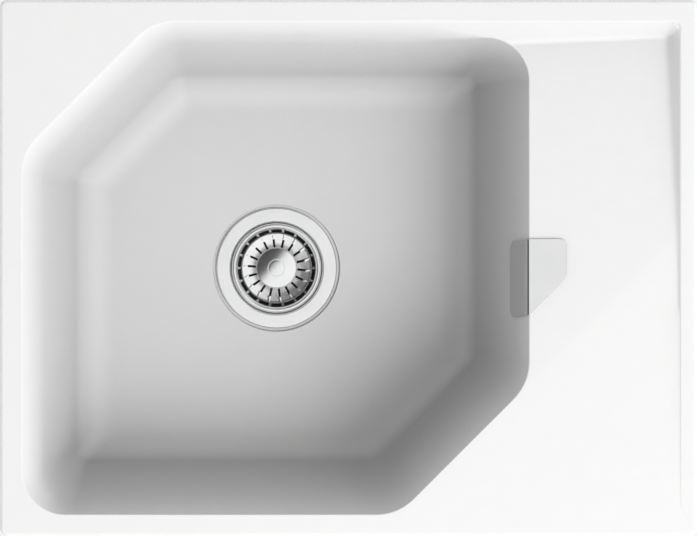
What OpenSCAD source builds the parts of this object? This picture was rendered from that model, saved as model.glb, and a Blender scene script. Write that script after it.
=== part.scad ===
// Inset kitchen sink of cast composite: one bowl with two cut corners and a lowered drainer beside it,
// a basket strainer waste, a covered overflow with its hose, and swing claws that hold it in a worktop.
// Origin: middle of the outer rectangle on the rim's underside. +X points to the drainer, +Y to the side
// where the drainer is deepest, +Z up.

/* [Sink outline] */
// Length of the rim
sink_l = 650; // [635:1:700]
// Width of the rim
sink_w = 500; // [490:1:540]
// Thickness of the rim slab
rim_t = 10; // [9:0.5:12]
// Corner radius of the rim
corner_r = 7; // [5:0.5:12]
// Rounding of the rim's top edge
edge_r = 3; // [1:0.5:4]
// Rim band on the bowl side
rim_left = 20.5; // [20:0.5:28]
// Rim band at the front and the back
rim_back = 20; // [20:0.5:26]
// Rim band beyond the drainer
rim_right = 15.3; // [15.3:0.1:22]

/* [Bowl] */
// Length of the bowl at the rim
bowl_l = 473; // [440:1:480]
// Depth from the rim's top to the floor beside the waste
bowl_depth = 200; // [190:1:215]
// Fall of the floor from the walls to the waste
floor_fall = 2; // [1:0.5:4]
// Leg of the two cut corners
cut_leg = 122.5; // [110:0.5:130]
// Radius beside the cut corners
cut_r = 50; // [40:1:60]
// Radius of the two plain corners
plain_r = 40; // [30:1:50]
// Smallest corner radius at the floor
low_r = 12; // [10:1:16]
// Loss of corner radius for each mm that the wall comes in
radius_taper = 0.6; // [0.4:0.05:0.7]
// Width and depth of the lip bevel
bevel = 15; // [12:0.5:17]
// How far the walls come in above the floor fillet
wall_run = 48; // [44:1:52]
// Radius between walls and floor
fillet_r = 35; // [34:1:44]
// Wall thickness
wall_t = 9; // [8:0.5:10]

/* [Drainer] */
// Fall of the flat land for each mm from the front
land_fall = 0.0114; // [0.006:0.001:0.014]
// Extra fall of the drainer for each mm along X and Y towards the bowl's back
drainer_fall = 0.0439; // [0.035:0.001:0.046]
// Thickness of the drainer pan
pan_t = 10; // [10:0.5:12]
// How far the pan's sloping walls stand out under the rim
pan_out = 4; // [3.5:0.1:4.2]
// Diameter of the tap hole knock-out, sunk from below
tap_d = 35; // [30:1:38]
// Skin left over the knock-out
tap_skin = 4; // [3:0.5:5]
// Tap position from the drainer's outer edge
tap_in_x = 70; // [60:1:90]
// Tap position from the front edge of the land
tap_in_y = 65; // [50:1:75]

/* [Waste] */
// Hole through the floor
drain_d = 90; // [90:0.5:92]
// Sunk seat round the hole
seat_d = 119.5; // [117:0.5:125]
// Depth of the seat
seat_depth = 3; // [3:0.5:4]
// Floor left under the seat
seat_floor = 7; // [6:0.5:9]
// Outside of the waste flange
flange_d = 113.7; // [110:0.1:115]
// Depth of the basket's ledge below the flange
ledge_depth = 5.2; // [4.8:0.1:5.6]
// Inside of the strainer cup
cup_d = 79.6; // [79.6:0.2:80.2]
// Depth of the cup below the flange
cup_depth = 38; // [38:0.5:42]
// Sheet thickness of flange and cup
sheet_t = 1.2; // [0.8:0.1:1.3]
// Sealing ring under the flange
ring_t = 1.5; // [1.5:0.1:1.8]
// Gasket under the sink
gasket_t = 3; // [2:0.5:4]
// Outlet thread, major diameter of G1 1/2
outlet_d = 47.8; // [47:0.1:48.5]
// Length of the outlet thread
outlet_l = 14; // [12:1:20]
// Wall of the moulded waste body
body_t = 3; // [2.5:0.1:3.5]
// Height of the side inlet's axis under the sink
inlet_drop = 26; // [25:0.5:30]
// Holes in the cup's bottom
cup_holes = 12; // [8:1:12]

/* [Strainer basket] */
// Outside of the basket's rolled rim
basket_d = 83; // [82.6:0.1:83.2]
// Thickness of the rolled rim
bead_d = 3.3; // [2.6:0.1:3.4]
// Inside radius of the basket's wall at the bottom
basket_low_r = 34; // [32:0.5:35]
// Height of the basket's side wall
basket_h = 24; // [22:0.5:25]
// Side windows and bottom slots
basket_slots = 18; // [12:1:20]
// Width of the ribs between the windows
rib_w = 2.3; // [1.8:0.1:3]
// Width of the bottom slots
slot_w = 1.6; // [1.2:0.1:2]
// Outer end of the bottom slots
slot_r = 26.1; // [24:0.1:28]
// Diameter of the knob
knob_d = 38.2; // [34:0.2:40]
// Height of the knob above the basket's bottom
knob_h = 25; // [18:1:26]

/* [Overflow] */
// Middle of the cover along Y
cover_y = -8.4; // [-20:0.1:10]
// Width of the cover
cover_w = 70.8; // [62:0.2:76]
// How far the cover lies on the drainer
cover_l = 35.2; // [32:0.2:42]
// Sheet of the cover
cover_t = 1.5; // [1:0.1:1.6]
// Length of the cover's leg down the wall
leg_l = 49; // [46:1:54]
// Angle at which the leg stands off the bowl's wall
leg_off = 2.4; // [2:0.1:3.5]
// Middle of the overflow hole under the bowl's edge
hole_drop = 32; // [31:0.5:34]
// Overflow hole
hole_d = 26.4; // [25:0.2:27]
// Wall of the bezel's tube
bezel_t = 2.4; // [2:0.1:2.6]
// Outside of the hose's ribs
hose_d = 26; // [24:0.5:26]
// Depth of the ribs
rib_h = 1.6; // [1:0.1:1.8]
// Wall of the hose under the ribs
hose_t = 1.5; // [1.2:0.1:1.8]
// Number of ribs
ribs = 66; // [40:1:72]
// Radius of the hose's bend, four of its diameters
bend_r = 104; // [95:1:108]
// Distance of the hose's upper end outside the bowl wall
elbow_out = 32; // [32:0.5:36]

/* [Clips] */
// Distance of the clip screws from the sink's edge
clip_in = 18.5; // [18:0.5:20]
// Depth of the clip bosses under the rim
boss_h = 34; // [30:1:36]
// Diameter of the clip bosses
boss_d = 14; // [12:0.5:14]
// Clip screw thread
screw_d = 5; // [4:0.5:5]
// Width of a claw
claw_w = 12; // [10:0.5:12]
// Reach of a claw from its screw
claw_reach = 16.5; // [14:0.5:17.5]
// Height of a claw
claw_h = 9; // [7:0.5:10]
// Back clip beside the bowl, from the sink's left end
clip_back_left = 225; // [160:1:260]
// Back clip beside the drainer, from the right end
clip_back_right = 85; // [60:1:120]
// Front clip beside the bowl, from the left end
clip_front_left = 125; // [100:1:180]
// Front clip beside the land, from the right end
clip_front_right = 145; // [110:1:160]
// Place of the left clip along Y
clip_left_y = -40; // [-60:1:40]
// Place of the right clip along Y
clip_right_y = -20; // [-60:1:60]
// Largest worktop that the claws can take
worktop_t = 38; // [38:1:44]

/* [Clearances] */
// Gap of parts that push together and stay
fit = 0.1; // [0.05:0.01:0.2]
// Running gap of a claw round its screw
swing_fit = 0.08; // [0.04:0.01:0.1]
// Gap at the seats of the parts that lift out
seat_gap = 0.3; // [0.2:0.05:0.4]

/* [Hidden] */

// Overlap of a cut past the face that it opens
over = 5;
// Points on each corner arc
arc_n = 9;
// Rings in a fillet
fillet_n = 5;

// Bowl and drainer edges
bowl_x = -sink_l / 2 + rim_left + bowl_l / 2;
edge_x = bowl_x + bowl_l / 2;
back_y = sink_w / 2 - rim_back;
drainer_x = sink_l / 2 - rim_right;
// The fold between land and drainer is the line x - y = fold_c, just outside the front cut corner's edge
fold_gap = 0.5;
fold_c = edge_x + back_y - cut_leg + fold_gap;
// How far the drainer's cut reaches over the bowl
drainer_over = 68.5;
// How far the drainer's cut reaches past the fold into the bowl
fold_over = 6;
// The land comes level with the rim on a line from the cut corner's edge, land_in from its front end, to the
// drainer's front corner; its floor plane runs on by land_over
land_in = 20;
land_skew = land_in / (drainer_x - fold_c + back_y - land_in);
land_over = 10;
// How far the bowl's side wall starts above the drainer's floor
edge_over = 0.5;

// Bowl sides as outward angle and distance from the bowl's middle, counter-clockwise from the drainer
cut_dist = (bowl_l / 2 + back_y - cut_leg) / sqrt(2);
SIDES = [
    [0, bowl_l / 2], [90, back_y], [135, cut_dist],
    [180, bowl_l / 2], [270, back_y], [315, cut_dist]
];
// Radius of the corner after each side
RADII = [plain_r, cut_r, cut_r, plain_r, cut_r, cut_r];
// Sides with the lip bevel are marked 1
LIP = [0, 1, 1, 1, 0, 0];

// Levels of the bowl
floor_z = rim_t - bowl_depth;
fillet_z = floor_z + floor_fall + fillet_r;
wall_a = 14;
wall_z = fillet_z - fillet_r * sin(wall_a);
wall_drop = rim_t - wall_z;
wall_off = wall_t / cos(wall_a);
skirt_z = -rim_t - 1;
seat_z = floor_z - seat_depth;
under_z = seat_z - seat_floor;
boss_wall = 4;
boss_r = seat_d / 2 + boss_wall;

// Tap hole knock-out
tap_x = drainer_x - tap_in_x;
tap_y = -back_y + tap_in_y;
tap_top = drainer_z(tap_x, tap_y) - tap_skin;

// Waste levels, from the flange down
flange_z = seat_z + ring_t + sheet_t;
ledge_z = flange_z - ledge_depth;
cup_z = flange_z - cup_depth;
dimple_r = 9;
dimple_h = 8;
dimple_z = cup_z - dimple_h;
cup_hole_r = 3.9;
cup_hole_at = 17.5;
body_gap = 1.5;
body_r = drain_d / 2 + body_gap + body_t;
body_flange_in = 6;
body_flange_r = boss_r - body_flange_in;
body_flange_t = 4;
body_z = under_z - gasket_t;
waste_screw_d = 6;
waste_screw_l = 14;
waste_insert_r = 4.5;
hub_z = dimple_z - sheet_t;
hub_l = 14;
hub_r = 7;

// Overflow: levels at the bowl's edge, and distances along the hole's axis
over_top = drainer_z(edge_x, cover_y);
over_a = atan(wall_run / (over_top - wall_z));
over_z = over_top - hole_drop;
over_x = edge_x - hole_drop * tan(over_a);
plate_tilt = atan(drainer_fall - land_fall * land_skew);
leg_angle = over_a + leg_off + plate_tilt;
face_sink = 2;
pad_h = 3;
pad_w = wall_t + pad_h;
pad_r = 25;
gasket_w = pad_w + gasket_t;
gasket_r = 23;
elbow_flange_t = 3;
bezel_r = hole_d / 2 - fit;
bezel_bore = bezel_r - bezel_t;
bezel_flange_r = 20;
bezel_flange_t = 1.7;
bezel_face = bezel_flange_t - face_sink;
bezel_l = gasket_w + elbow_flange_t + 7;

// Cover: bend between plate and leg, cut corners, and the plug behind the leg
bend_in = 1;
bend_x = 0.4;
bend_z = seat_gap - bend_in;
bend_out = bend_in + cover_t;
leg_cut = 6.5;
cover_corner = 6.4;
cover_turn = 9;
plug_r = 8;
plug_hub_r = 3.5;
plug_fins = 4;
plug_disc = 4;
fin_t = 1.6;
fin_l = 12;

// Hose between its two sockets
socket_l = 14;
socket_r = hose_d / 2 + 4 * fit;
spout_r = socket_r + 3.6;
knee_x = over_x + elbow_out * cos(over_a);
knee_z = over_z - elbow_out * sin(over_a);
hose_az = atan2(cover_y, knee_x - bowl_x);
hose_reach = norm([knee_x - bowl_x, cover_y]);
hose_bore = hose_d / 2 - rib_h - hose_t;
hose_top = knee_z - spout_r - 7;
hose_end = body_r + 20;
inlet_z = under_z - inlet_drop;
cuff_l = hose_d;
hose_sides = 8;
drop_l = hose_top - inlet_z - bend_r;
bend_l = bend_r * PI / 2;
hose_l = drop_l + bend_l + hose_reach - bend_r - hose_end;
washer_t = 3;
nut_over = 9;
nut_lip = 3;
nut_t = 3.6;
flutes = 12;

// Waste body's cone and thread, and the ribs that hold its hub in the cone's wall
cone_z = inlet_z - spout_r - 2;
cone_h = 19;
thread_z = cone_z - cone_h - 4;
collar_r = outlet_d / 2 + 2;
rib_reach = body_r - body_t / 2 - (body_r - collar_r) * (cone_z - hub_z + hub_l) / cone_h;

// Basket, from its rim down
bead_r = bead_d / 2;
bead_z = ledge_z + seat_gap + bead_r;
bead_mid_r = basket_d / 2 - bead_r;
wall_low_z = bead_z - basket_h;
basket_t = 1;
basket_z = wall_low_z - 3.5;
basket_flat_r = knob_d / 2 + 0.5;
slot_in_r = 12;
slot_turn = -4;
stem_r = 3;
stem_in = 14;
knob_neck_r = 6.5;
knob_crown = 100;
seal_z = basket_z - basket_t;
seal_h = 3.5;
seal_t = 2;
seal_r = 27;
seal_washer_t = 0.8;
washer_z = seal_z - seal_h - seal_washer_t;
stem_nut_h = 3.4;
nut_z = washer_z - stem_nut_h;

// Clips
insert_d = screw_d + 2;
insert_l = 12;
claw_t = 2;
claw_z = -worktop_t - claw_h - 3;
// Screw position of each clip, and the direction out of the sink there
CLIPS = [
    [-sink_l / 2 + clip_back_left, sink_w / 2 - clip_in, 90],
    [sink_l / 2 - clip_back_right, sink_w / 2 - clip_in, 90],
    [-sink_l / 2 + clip_front_left, clip_in - sink_w / 2, -90],
    [sink_l / 2 - clip_front_right, clip_in - sink_w / 2, -90],
    [clip_in - sink_l / 2, clip_left_y, 180],
    [sink_l / 2 - clip_in, clip_right_y, 0]
];

// Bowl outline: rounded corner points between two side lines, each moved in by its own offset
function meet(a, b, p, q) =
    let (s = sin(b[0] - a[0]), da = a[1] - p, db = b[1] - q)
    [(da * sin(b[0]) - db * sin(a[0])) / s, (db * cos(a[0]) - da * cos(b[0])) / s];
function next(i) = (i + 1) % len(SIDES);
function turn(i) = (SIDES[next(i)][0] - SIDES[i][0] + 360) % 360;
function shrunk(r, d) = max(r - radius_taper * d, low_r);
function ring(offs, grow = 0) = [
    for (i = [0:len(SIDES) - 1])
        let (
            r = shrunk(RADII[i], (offs[i] + offs[next(i)]) / 2 + grow) + grow,
            c = meet(SIDES[i], SIDES[next(i)], offs[i] + r, offs[next(i)] + r)
        )
        for (j = [0:arc_n - 1])
            let (a = SIDES[i][0] + turn(i) * j / (arc_n - 1))
            [bowl_x + c[0] + r * cos(a), c[1] + r * sin(a)]
];
// Share of the drainer side at point k of a ring, from 1 on that side to 0 past its corners
function side_share(k) =
    let (i = floor(k / arc_n), t = (k % arc_n) / (arc_n - 1))
    i == 0 ? 1 - t : i == len(SIDES) - 1 ? t : 0;
function at_z(points, z) = [for (p = points) [p[0], p[1], z]];
function same(d) = [for (s = SIDES) d];
function by_side(with_lip, plain) = [for (l = LIP) l == 1 ? with_lip : plain];

// How far the wall has come in at a depth under the rim, on plain sides and under the lip bevel
function plain_in(depth) = wall_run * depth / wall_drop;
function lip_in(depth) = bevel + (wall_run - bevel) * (depth - bevel) / (wall_drop - bevel);

// Depth of the drainer's floor under the rim's top: two planes that meet at the fold
function land_depth(x, y) = land_fall * (y + back_y - land_skew * (drainer_x - x));
function drainer_depth(x, y) = land_depth(x, y) + max(0, drainer_fall * (fold_c - x + y));
function drainer_z(x, y) = rim_t - drainer_depth(x, y);

function arc(x, y, r, a, b, n = 8) = [
    for (i = [0:n]) let (t = a + (b - a) * i / n) [x + r * cos(t), y + r * sin(t)]
];

// Solid through rings of equal length, given from the top down, with a point under the last ring
module skin(rings, tip) {
    n = len(rings[0]);
    m = len(rings);
    polyhedron(
        points = [for (r = rings) each r, tip],
        faces = [
            [for (j = [n - 1:-1:0]) j],
            for (i = [0:m - 2]) for (j = [0:n - 1])
                let (k = (j + 1) % n) each [
                    [i * n + j, i * n + k, (i + 1) * n + k],
                    [i * n + j, (i + 1) * n + k, (i + 1) * n + j]
                ],
            for (j = [0:n - 1]) [(m - 1) * n + j, (m - 1) * n + (j + 1) % n, m * n]
        ]
    );
}

// Closed sweep: the last ring joins the first, so an outside and a bore make one tube
module sleeve(rings) {
    n = len(rings[0]);
    m = len(rings);
    polyhedron(
        points = [for (r = rings) each r],
        faces = [
            for (i = [0:m - 1]) for (j = [0:n - 1])
                let (k = (j + 1) % n, u = (i + 1) % m) each [
                    [i * n + j, u * n + k, i * n + k],
                    [i * n + j, u * n + j, u * n + k]
                ]
        ]
    );
}

module tube(r_in, r_out, z, h, sides = 64) {
    translate([0, 0, z]) difference() {
        cylinder(h = h, r = r_out, $fn = sides);
        translate([0, 0, -over]) cylinder(h = h + 2 * over, r = r_in, $fn = sides);
    }
}

// Pan head screw with a cross recess: the head's seat at z = 0, the head below it, the shank above
module pan_screw(d, l) {
    head_r = 0.95 * d;
    head_h = 0.58 * d;
    difference() {
        union() {
            cylinder(h = l, r = d / 2, $fn = 48);
            translate([0, 0, -head_h]) cylinder(h = head_h, r = head_r, $fn = 48);
        }
        for (a = [0, 90]) rotate([0, 0, a])
            translate([-head_r / 2, -d / 10, -head_h - over]) cube([head_r, d / 5, head_h / 2 + over]);
    }
}

// Frames: the waste's axis, the overflow hole on the bowl's wall with Z square into the bowl, the drainer's
// floor at the bowl's edge, the plane of the hose, and the mouths of the hose's two sockets with Z outwards
module at_waste() {
    translate([bowl_x, 0, 0]) children();
}
module at_overflow() {
    translate([over_x, cover_y, over_z]) rotate([0, over_a - 90, 0]) children();
}
module on_drainer() {
    translate([edge_x, cover_y, over_top])
        rotate([-atan(land_fall + drainer_fall), 0, 0])
            rotate([0, -plate_tilt, 0]) children();
}
module hose_frame() {
    at_waste() rotate([0, 0, hose_az]) children();
}
module at_top_socket() {
    hose_frame() translate([hose_reach, 0, hose_top - socket_l]) rotate([180, 0, 0]) children();
}
module at_low_socket() {
    hose_frame() translate([hose_end + socket_l, 0, inlet_z]) rotate([0, 90, 0]) children();
}
module each_clip() {
    for (c = CLIPS) translate([c[0], c[1], 0]) children();
}

// Inside of the bowl
module bowl_cut() {
    offs = by_side(bevel, plain_in(bevel));
    flat = ring([0, for (i = [1:len(SIDES) - 1]) offs[i]]);
    lip = [
        for (k = [0:len(flat) - 1])
            let (w = side_share(k), x = flat[k][0], y = flat[k][1])
            [x, y, (1 - w) * (rim_t - bevel) + w * (drainer_z(x, y) + edge_over)]
    ];
    fillet = [
        for (i = [0:fillet_n])
            let (a = wall_a + (90 - wall_a) * i / fillet_n)
            at_z(ring(same(wall_run + fillet_r * (cos(wall_a) - cos(a)))), fillet_z - fillet_r * sin(a))
    ];
    rim = ring(same(0));
    skin([at_z(rim, rim_t + over), at_z(rim, rim_t), lip, each fillet], [bowl_x, 0, floor_z - 0.4]);
}

// Outside of the bowl, from inside the rim slab down
module bowl_shell() {
    shell_r = fillet_r + wall_t;
    run = wall_run + fillet_r * cos(wall_a);
    top = ring(by_side(-pan_out, plain_in(rim_t) - wall_off), wall_t);
    skirt_depth = rim_t - skirt_z;
    skirt = ring(by_side(lip_in(skirt_depth) - wall_off, plain_in(skirt_depth) - wall_off), wall_t);
    fillet = [
        for (i = [0:fillet_n])
            let (a = wall_a + (90 - wall_a) * i / fillet_n)
            at_z(ring(same(run - shell_r * cos(a)), wall_t), fillet_z - shell_r * sin(a))
    ];
    skin([at_z(top, rim_t / 2), at_z(top, 0), at_z(skirt, skirt_z), each fillet], [bowl_x, 0, under_z]);
}

// Drainer's recess, or with drop and out the pan under it. The back and outer walls slope at 45 degrees, and
// the land's plane runs on past the line where it comes level with the rim.
module drainer_form(drop, out, top) {
    zr = rim_t - drop;
    xw = edge_x - drainer_over;
    xe = drainer_x + out;
    yn = back_y + out;
    ys = -back_y - land_over;
    // Depth on the back plane as d0 + dx * x + dy * y
    dx = land_fall * land_skew - drainer_fall;
    dy = land_fall + drainer_fall;
    d0 = land_fall * (back_y - land_skew * drainer_x) + drainer_fall * fold_c;
    y_w = (yn - d0 - dx * xw) / (1 + dy);
    y_e = (yn - d0 - dx * (xe - yn)) / (1 + dx + dy);
    x_fold = (xe + land_fall * (fold_c - back_y + land_skew * drainer_x)) / (1 + land_fall * (1 + land_skew));
    y_west = xw - fold_c + fold_over;
    function low(x, y) = [x, y, zr - drainer_depth(x, y)];
    polyhedron(
        points = [
            [xw, yn, top], [xe, yn, top], [xe, ys, top], [fold_c + ys, ys, top], [xw, y_west, top],
            [xw, yn, zr], [xe, yn, zr], [xe, -back_y - land_skew * out, zr],
            low(xw, y_w), low(y_e + xe - yn, y_e), low(x_fold, x_fold - fold_c),
            low(xe, ys), low(fold_c + ys, ys), low(xw, y_west)
        ],
        faces = [
            [4, 0, 1, 2, 3], [0, 5, 6, 1], [11, 2, 1, 6, 7], [2, 11, 12, 3], [3, 12, 13, 4],
            [4, 13, 8, 5, 0], [5, 8, 9, 6], [6, 9, 10, 7], [11, 7, 10, 12], [13, 12, 10, 9, 8]
        ]
    );
}

// Rim slab with rounded corners and a rounded top edge
module rim_edge(w) {
    square([w - edge_r, rim_t]);
    square([w, rim_t - edge_r]);
    translate([w - edge_r, rim_t - edge_r]) circle(edge_r, $fn = 48);
}
module rim_slab() {
    lx = sink_l / 2 - corner_r;
    ly = sink_w / 2 - corner_r;
    for (sx = [-1, 1]) for (sy = [-1, 1])
        translate([sx * lx, sy * ly, 0]) rotate_extrude($fn = 48) rim_edge(corner_r);
    for (s = [0, 180]) rotate([0, 0, s]) {
        translate([lx, 0, 0]) rotate([90, 0, 0]) linear_extrude(2 * ly, center = true) rim_edge(corner_r);
        translate([0, ly, 0]) rotate([90, 0, 90]) linear_extrude(2 * lx, center = true) rim_edge(corner_r);
    }
    translate([-lx, -ly, 0]) cube([2 * lx, 2 * ly, rim_t]);
}

module sink_body() {
    color("whitesmoke") difference() {
        difference() {
            union() {
                rim_slab();
                bowl_shell();
                drainer_form(pan_t, pan_out, rim_t / 2);
                at_waste() translate([0, 0, under_z]) cylinder(h = seat_floor, r = boss_r, $fn = 96);
                at_overflow() translate([0, 0, -pad_w]) cylinder(h = pad_w - wall_t / 2, r = pad_r, $fn = 64);
                each_clip() translate([0, 0, -boss_h])
                    cylinder(h = boss_h + rim_t / 2, r = boss_d / 2, $fn = 48);
            }
            bowl_cut();
        }
        drainer_form(0, 0, rim_t + over);
        at_waste() {
            translate([0, 0, seat_z]) cylinder(h = seat_depth + over, r = seat_d / 2, $fn = 96);
            translate([0, 0, under_z - over]) cylinder(h = seat_floor + 2 * over, r = drain_d / 2, $fn = 96);
        }
        at_overflow() {
            translate([0, 0, -pad_w - over]) cylinder(h = pad_w + 2 * over, r = hole_d / 2, $fn = 64);
            translate([0, 0, -face_sink]) cylinder(h = face_sink + over, r = bezel_flange_r + fit, $fn = 64);
        }
        each_clip() translate([0, 0, -boss_h - over])
            cylinder(h = over + insert_l + 2, r = insert_d / 2 + fit, $fn = 32);
        translate([tap_x, tap_y, -rim_t]) cylinder(h = rim_t + tap_top, r = tap_d / 2, $fn = 64);
    }
}

// Cover: bent sheet that lies on the drainer and hangs down the wall in front of the overflow hole
module cover_section() {
    run = [-leg_l * sin(leg_angle), -leg_l * cos(leg_angle)];
    outer = arc(bend_x, bend_z, bend_out, 90, 180 - leg_angle);
    inner = arc(bend_x, bend_z, bend_in, 180 - leg_angle, 90);
    polygon([
        [cover_l + over, seat_gap + cover_t], each outer, outer[8] + run, inner[0] + run, each inner,
        [cover_l + over, seat_gap]
    ]);
}
module cover_outline() {
    h = cover_w / 2;
    end = bend_x - bend_out * cos(leg_angle) - leg_l * sin(leg_angle);
    polygon([
        [end + leg_cut, h], [end - over, h - leg_cut - over], [end - over, leg_cut + over - h],
        [end + leg_cut, -h], [0, -h],
        each arc(cover_l - cover_turn, cover_l - h + cover_turn * (sqrt(2) - 1), cover_turn, -45, 0),
        each arc(cover_l - cover_corner, h - cover_corner, cover_corner, 0, 90)
    ]);
}
module overflow_cover() {
    color("gainsboro") on_drainer() intersection() {
        rotate([90, 0, 0]) linear_extrude(cover_w + over, center = true) cover_section();
        translate([0, 0, -leg_l - over]) linear_extrude(leg_l + 3 * over) cover_outline();
    }
}

// Plug behind the cover's leg: a disc whose face lies on the leg, and fins that push into the bezel
module overflow_cover_plug() {
    disc_z = bezel_face + seat_gap;
    color("dimgray") difference() {
        at_overflow() {
            translate([0, 0, disc_z]) cylinder(h = plug_disc, r = plug_r, $fn = 48);
            translate([0, 0, -fin_l]) cylinder(h = fin_l + disc_z + 0.5, r = plug_hub_r, $fn = 32);
            for (i = [0:plug_fins - 1]) rotate([0, 0, i * 360 / plug_fins])
                translate([0, -fin_t / 2, -fin_l])
                    cube([bezel_bore - seat_gap, fin_t, fin_l + disc_z + 0.5]);
        }
        on_drainer() translate([bend_x, 0, bend_z]) rotate([0, leg_angle - 90, 0])
            translate([-leg_l, -leg_l, bend_in]) cube(2 * leg_l);
    }
}

// Bezel: flanged tube through the wall, sunk in the bowl's face
module overflow_bezel() {
    color("gray") at_overflow() rotate_extrude($fn = 64) polygon([
        [bezel_bore, -bezel_l], [bezel_r, -bezel_l], [bezel_r, -face_sink], [bezel_flange_r, -face_sink],
        [bezel_flange_r, bezel_face - 0.5], [bezel_flange_r - 0.5, bezel_face], [bezel_bore + 1, bezel_face],
        [bezel_bore, bezel_face - 1]
    ]);
}
module overflow_gasket() {
    color("black") at_overflow() tube(bezel_r + fit, gasket_r, -gasket_w, gasket_t);
}
module overflow_elbow() {
    knee_h = knee_z - hose_top + socket_l;
    color("slategray") difference() {
        union() {
            at_overflow() {
                translate([0, 0, -gasket_w - elbow_flange_t])
                    cylinder(h = elbow_flange_t, r = gasket_r, $fn = 64);
                translate([0, 0, -elbow_out]) cylinder(h = elbow_out - gasket_w - 1, r = spout_r, $fn = 64);
                translate([0, 0, -elbow_out]) sphere(spout_r + 0.5, $fn = 64);
            }
            at_top_socket() translate([0, 0, -knee_h]) cylinder(h = knee_h, r = spout_r, $fn = 64);
        }
        at_overflow() {
            translate([0, 0, -bezel_l - 1]) cylinder(h = bezel_l, r = bezel_r + fit, $fn = 64);
            translate([0, 0, -elbow_out]) cylinder(h = elbow_out, r = hose_bore, $fn = 64);
            translate([0, 0, -elbow_out]) sphere(hose_bore + 0.5, $fn = 64);
        }
        at_top_socket() {
            translate([0, 0, -knee_h]) cylinder(h = knee_h, r = hose_bore, $fn = 64);
            translate([0, 0, -socket_l]) cylinder(h = socket_l + over, r = socket_r, $fn = 64);
        }
    }
}

// Ribbed hose, from the elbow straight down, round one bend and straight into the waste body
function hose_turn(s) = max(0, min(90, (s - drop_l) * 180 / (PI * bend_r)));
function hose_mid(s) =
    let (a = hose_turn(s), past = max(0, s - drop_l - bend_l))
    s < drop_l ? [hose_reach, hose_top - s]
    : [hose_reach - bend_r + bend_r * cos(a) - past, inlet_z + bend_r - bend_r * sin(a)];
function hose_ring(s, r) =
    let (c = hose_mid(s), a = hose_turn(s))
    [
        for (i = [0:hose_sides - 1])
            let (t = (i + 0.5) * 360 / hose_sides)
            [c[0] + r * cos(t) * cos(a), r * sin(t), c[1] - r * cos(t) * sin(a)]
    ];
module overflow_hose() {
    r = hose_d / 2;
    pitch = (hose_l - 2 * cuff_l) / ribs;
    bore_n = round(hose_l / 12);
    outside = [
        hose_ring(0, r), hose_ring(cuff_l - 1, r),
        for (i = [0:ribs - 1]) each [
            hose_ring(cuff_l + i * pitch, r - rib_h), hose_ring(cuff_l + (i + 0.5) * pitch, r)
        ],
        hose_ring(hose_l - cuff_l, r - rib_h), hose_ring(hose_l - cuff_l + 1, r), hose_ring(hose_l, r)
    ];
    inside = [for (i = [bore_n:-1:0]) hose_ring(hose_l * i / bore_n, hose_bore)];
    color("gainsboro") hose_frame() sleeve([each outside, each inside]);
}

// Union nut round a socket's mouth, over a sealing washer
module union_nut() {
    r = spout_r + fit + nut_t;
    h = nut_over + washer_t + nut_lip;
    translate([0, 0, -nut_over]) difference() {
        cylinder(h = h, r = r, $fn = 64);
        translate([0, 0, -over]) cylinder(h = over + h - nut_lip, r = spout_r + fit, $fn = 64);
        cylinder(h = h + over, r = socket_r, $fn = 64);
        for (i = [0:flutes - 1]) rotate([0, 0, i * 360 / flutes])
            translate([r + nut_t / 2, 0, -over]) cylinder(h = h + 2 * over, r = 0.8 * nut_t, $fn = 24);
    }
}
module hose_nut_top() {
    color("dimgray") at_top_socket() union_nut();
}
module hose_nut_bottom() {
    color("dimgray") at_low_socket() union_nut();
}
module hose_washers() {
    color("black") {
        at_top_socket() tube(socket_r, spout_r - fit, 0, washer_t);
        at_low_socket() tube(socket_r, spout_r - fit, 0, washer_t);
    }
}

module flange_ring() {
    color("black") at_waste() tube(drain_d / 2 + 1, flange_d / 2 - 2, seat_z, ring_t, 96);
}

// Pressed flange and strainer cup in one, with a ledge for the basket and a dimple for the screw
module waste_flange() {
    t = sheet_t;
    r = cup_d / 2;
    corner = 3;
    ledge_r = basket_d / 2 + 0.9;
    mouth_r = ledge_r + 1;
    hole_r = waste_screw_d / 2 + 2 * fit;
    slope = 1.7;
    color("silver") at_waste() difference() {
        rotate_extrude($fn = 96) polygon([
            [flange_d / 2, flange_z - t], [flange_d / 2, flange_z - t / 2],
            [flange_d / 2 - t / 2, flange_z], [mouth_r + 1, flange_z], [mouth_r, flange_z - 1],
            [ledge_r, ledge_z], [r, ledge_z], each arc(r - corner, cup_z + corner, corner, 0, -90, 6),
            [dimple_r + slope, cup_z], [dimple_r, dimple_z], [hole_r, dimple_z],
            [hole_r, dimple_z - t], [dimple_r + t, dimple_z - t], [dimple_r + slope + t, cup_z - t],
            each arc(r - corner, cup_z + corner, corner + t, -90, 0, 6),
            [r + t, ledge_z - t], [ledge_r + t, ledge_z - t], [mouth_r + 1, flange_z - 2 * t],
            [mouth_r + 1, flange_z - t]
        ]);
        for (i = [0:cup_holes - 1]) rotate([0, 0, i * 360 / cup_holes])
            translate([cup_hole_at, 0, cup_z - over]) cylinder(h = 2 * over, r = cup_hole_r, $fn = 32);
    }
}
module body_gasket() {
    color("black") at_waste() tube(drain_d / 2 + 1, body_flange_r, body_z, gasket_t, 96);
}

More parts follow.
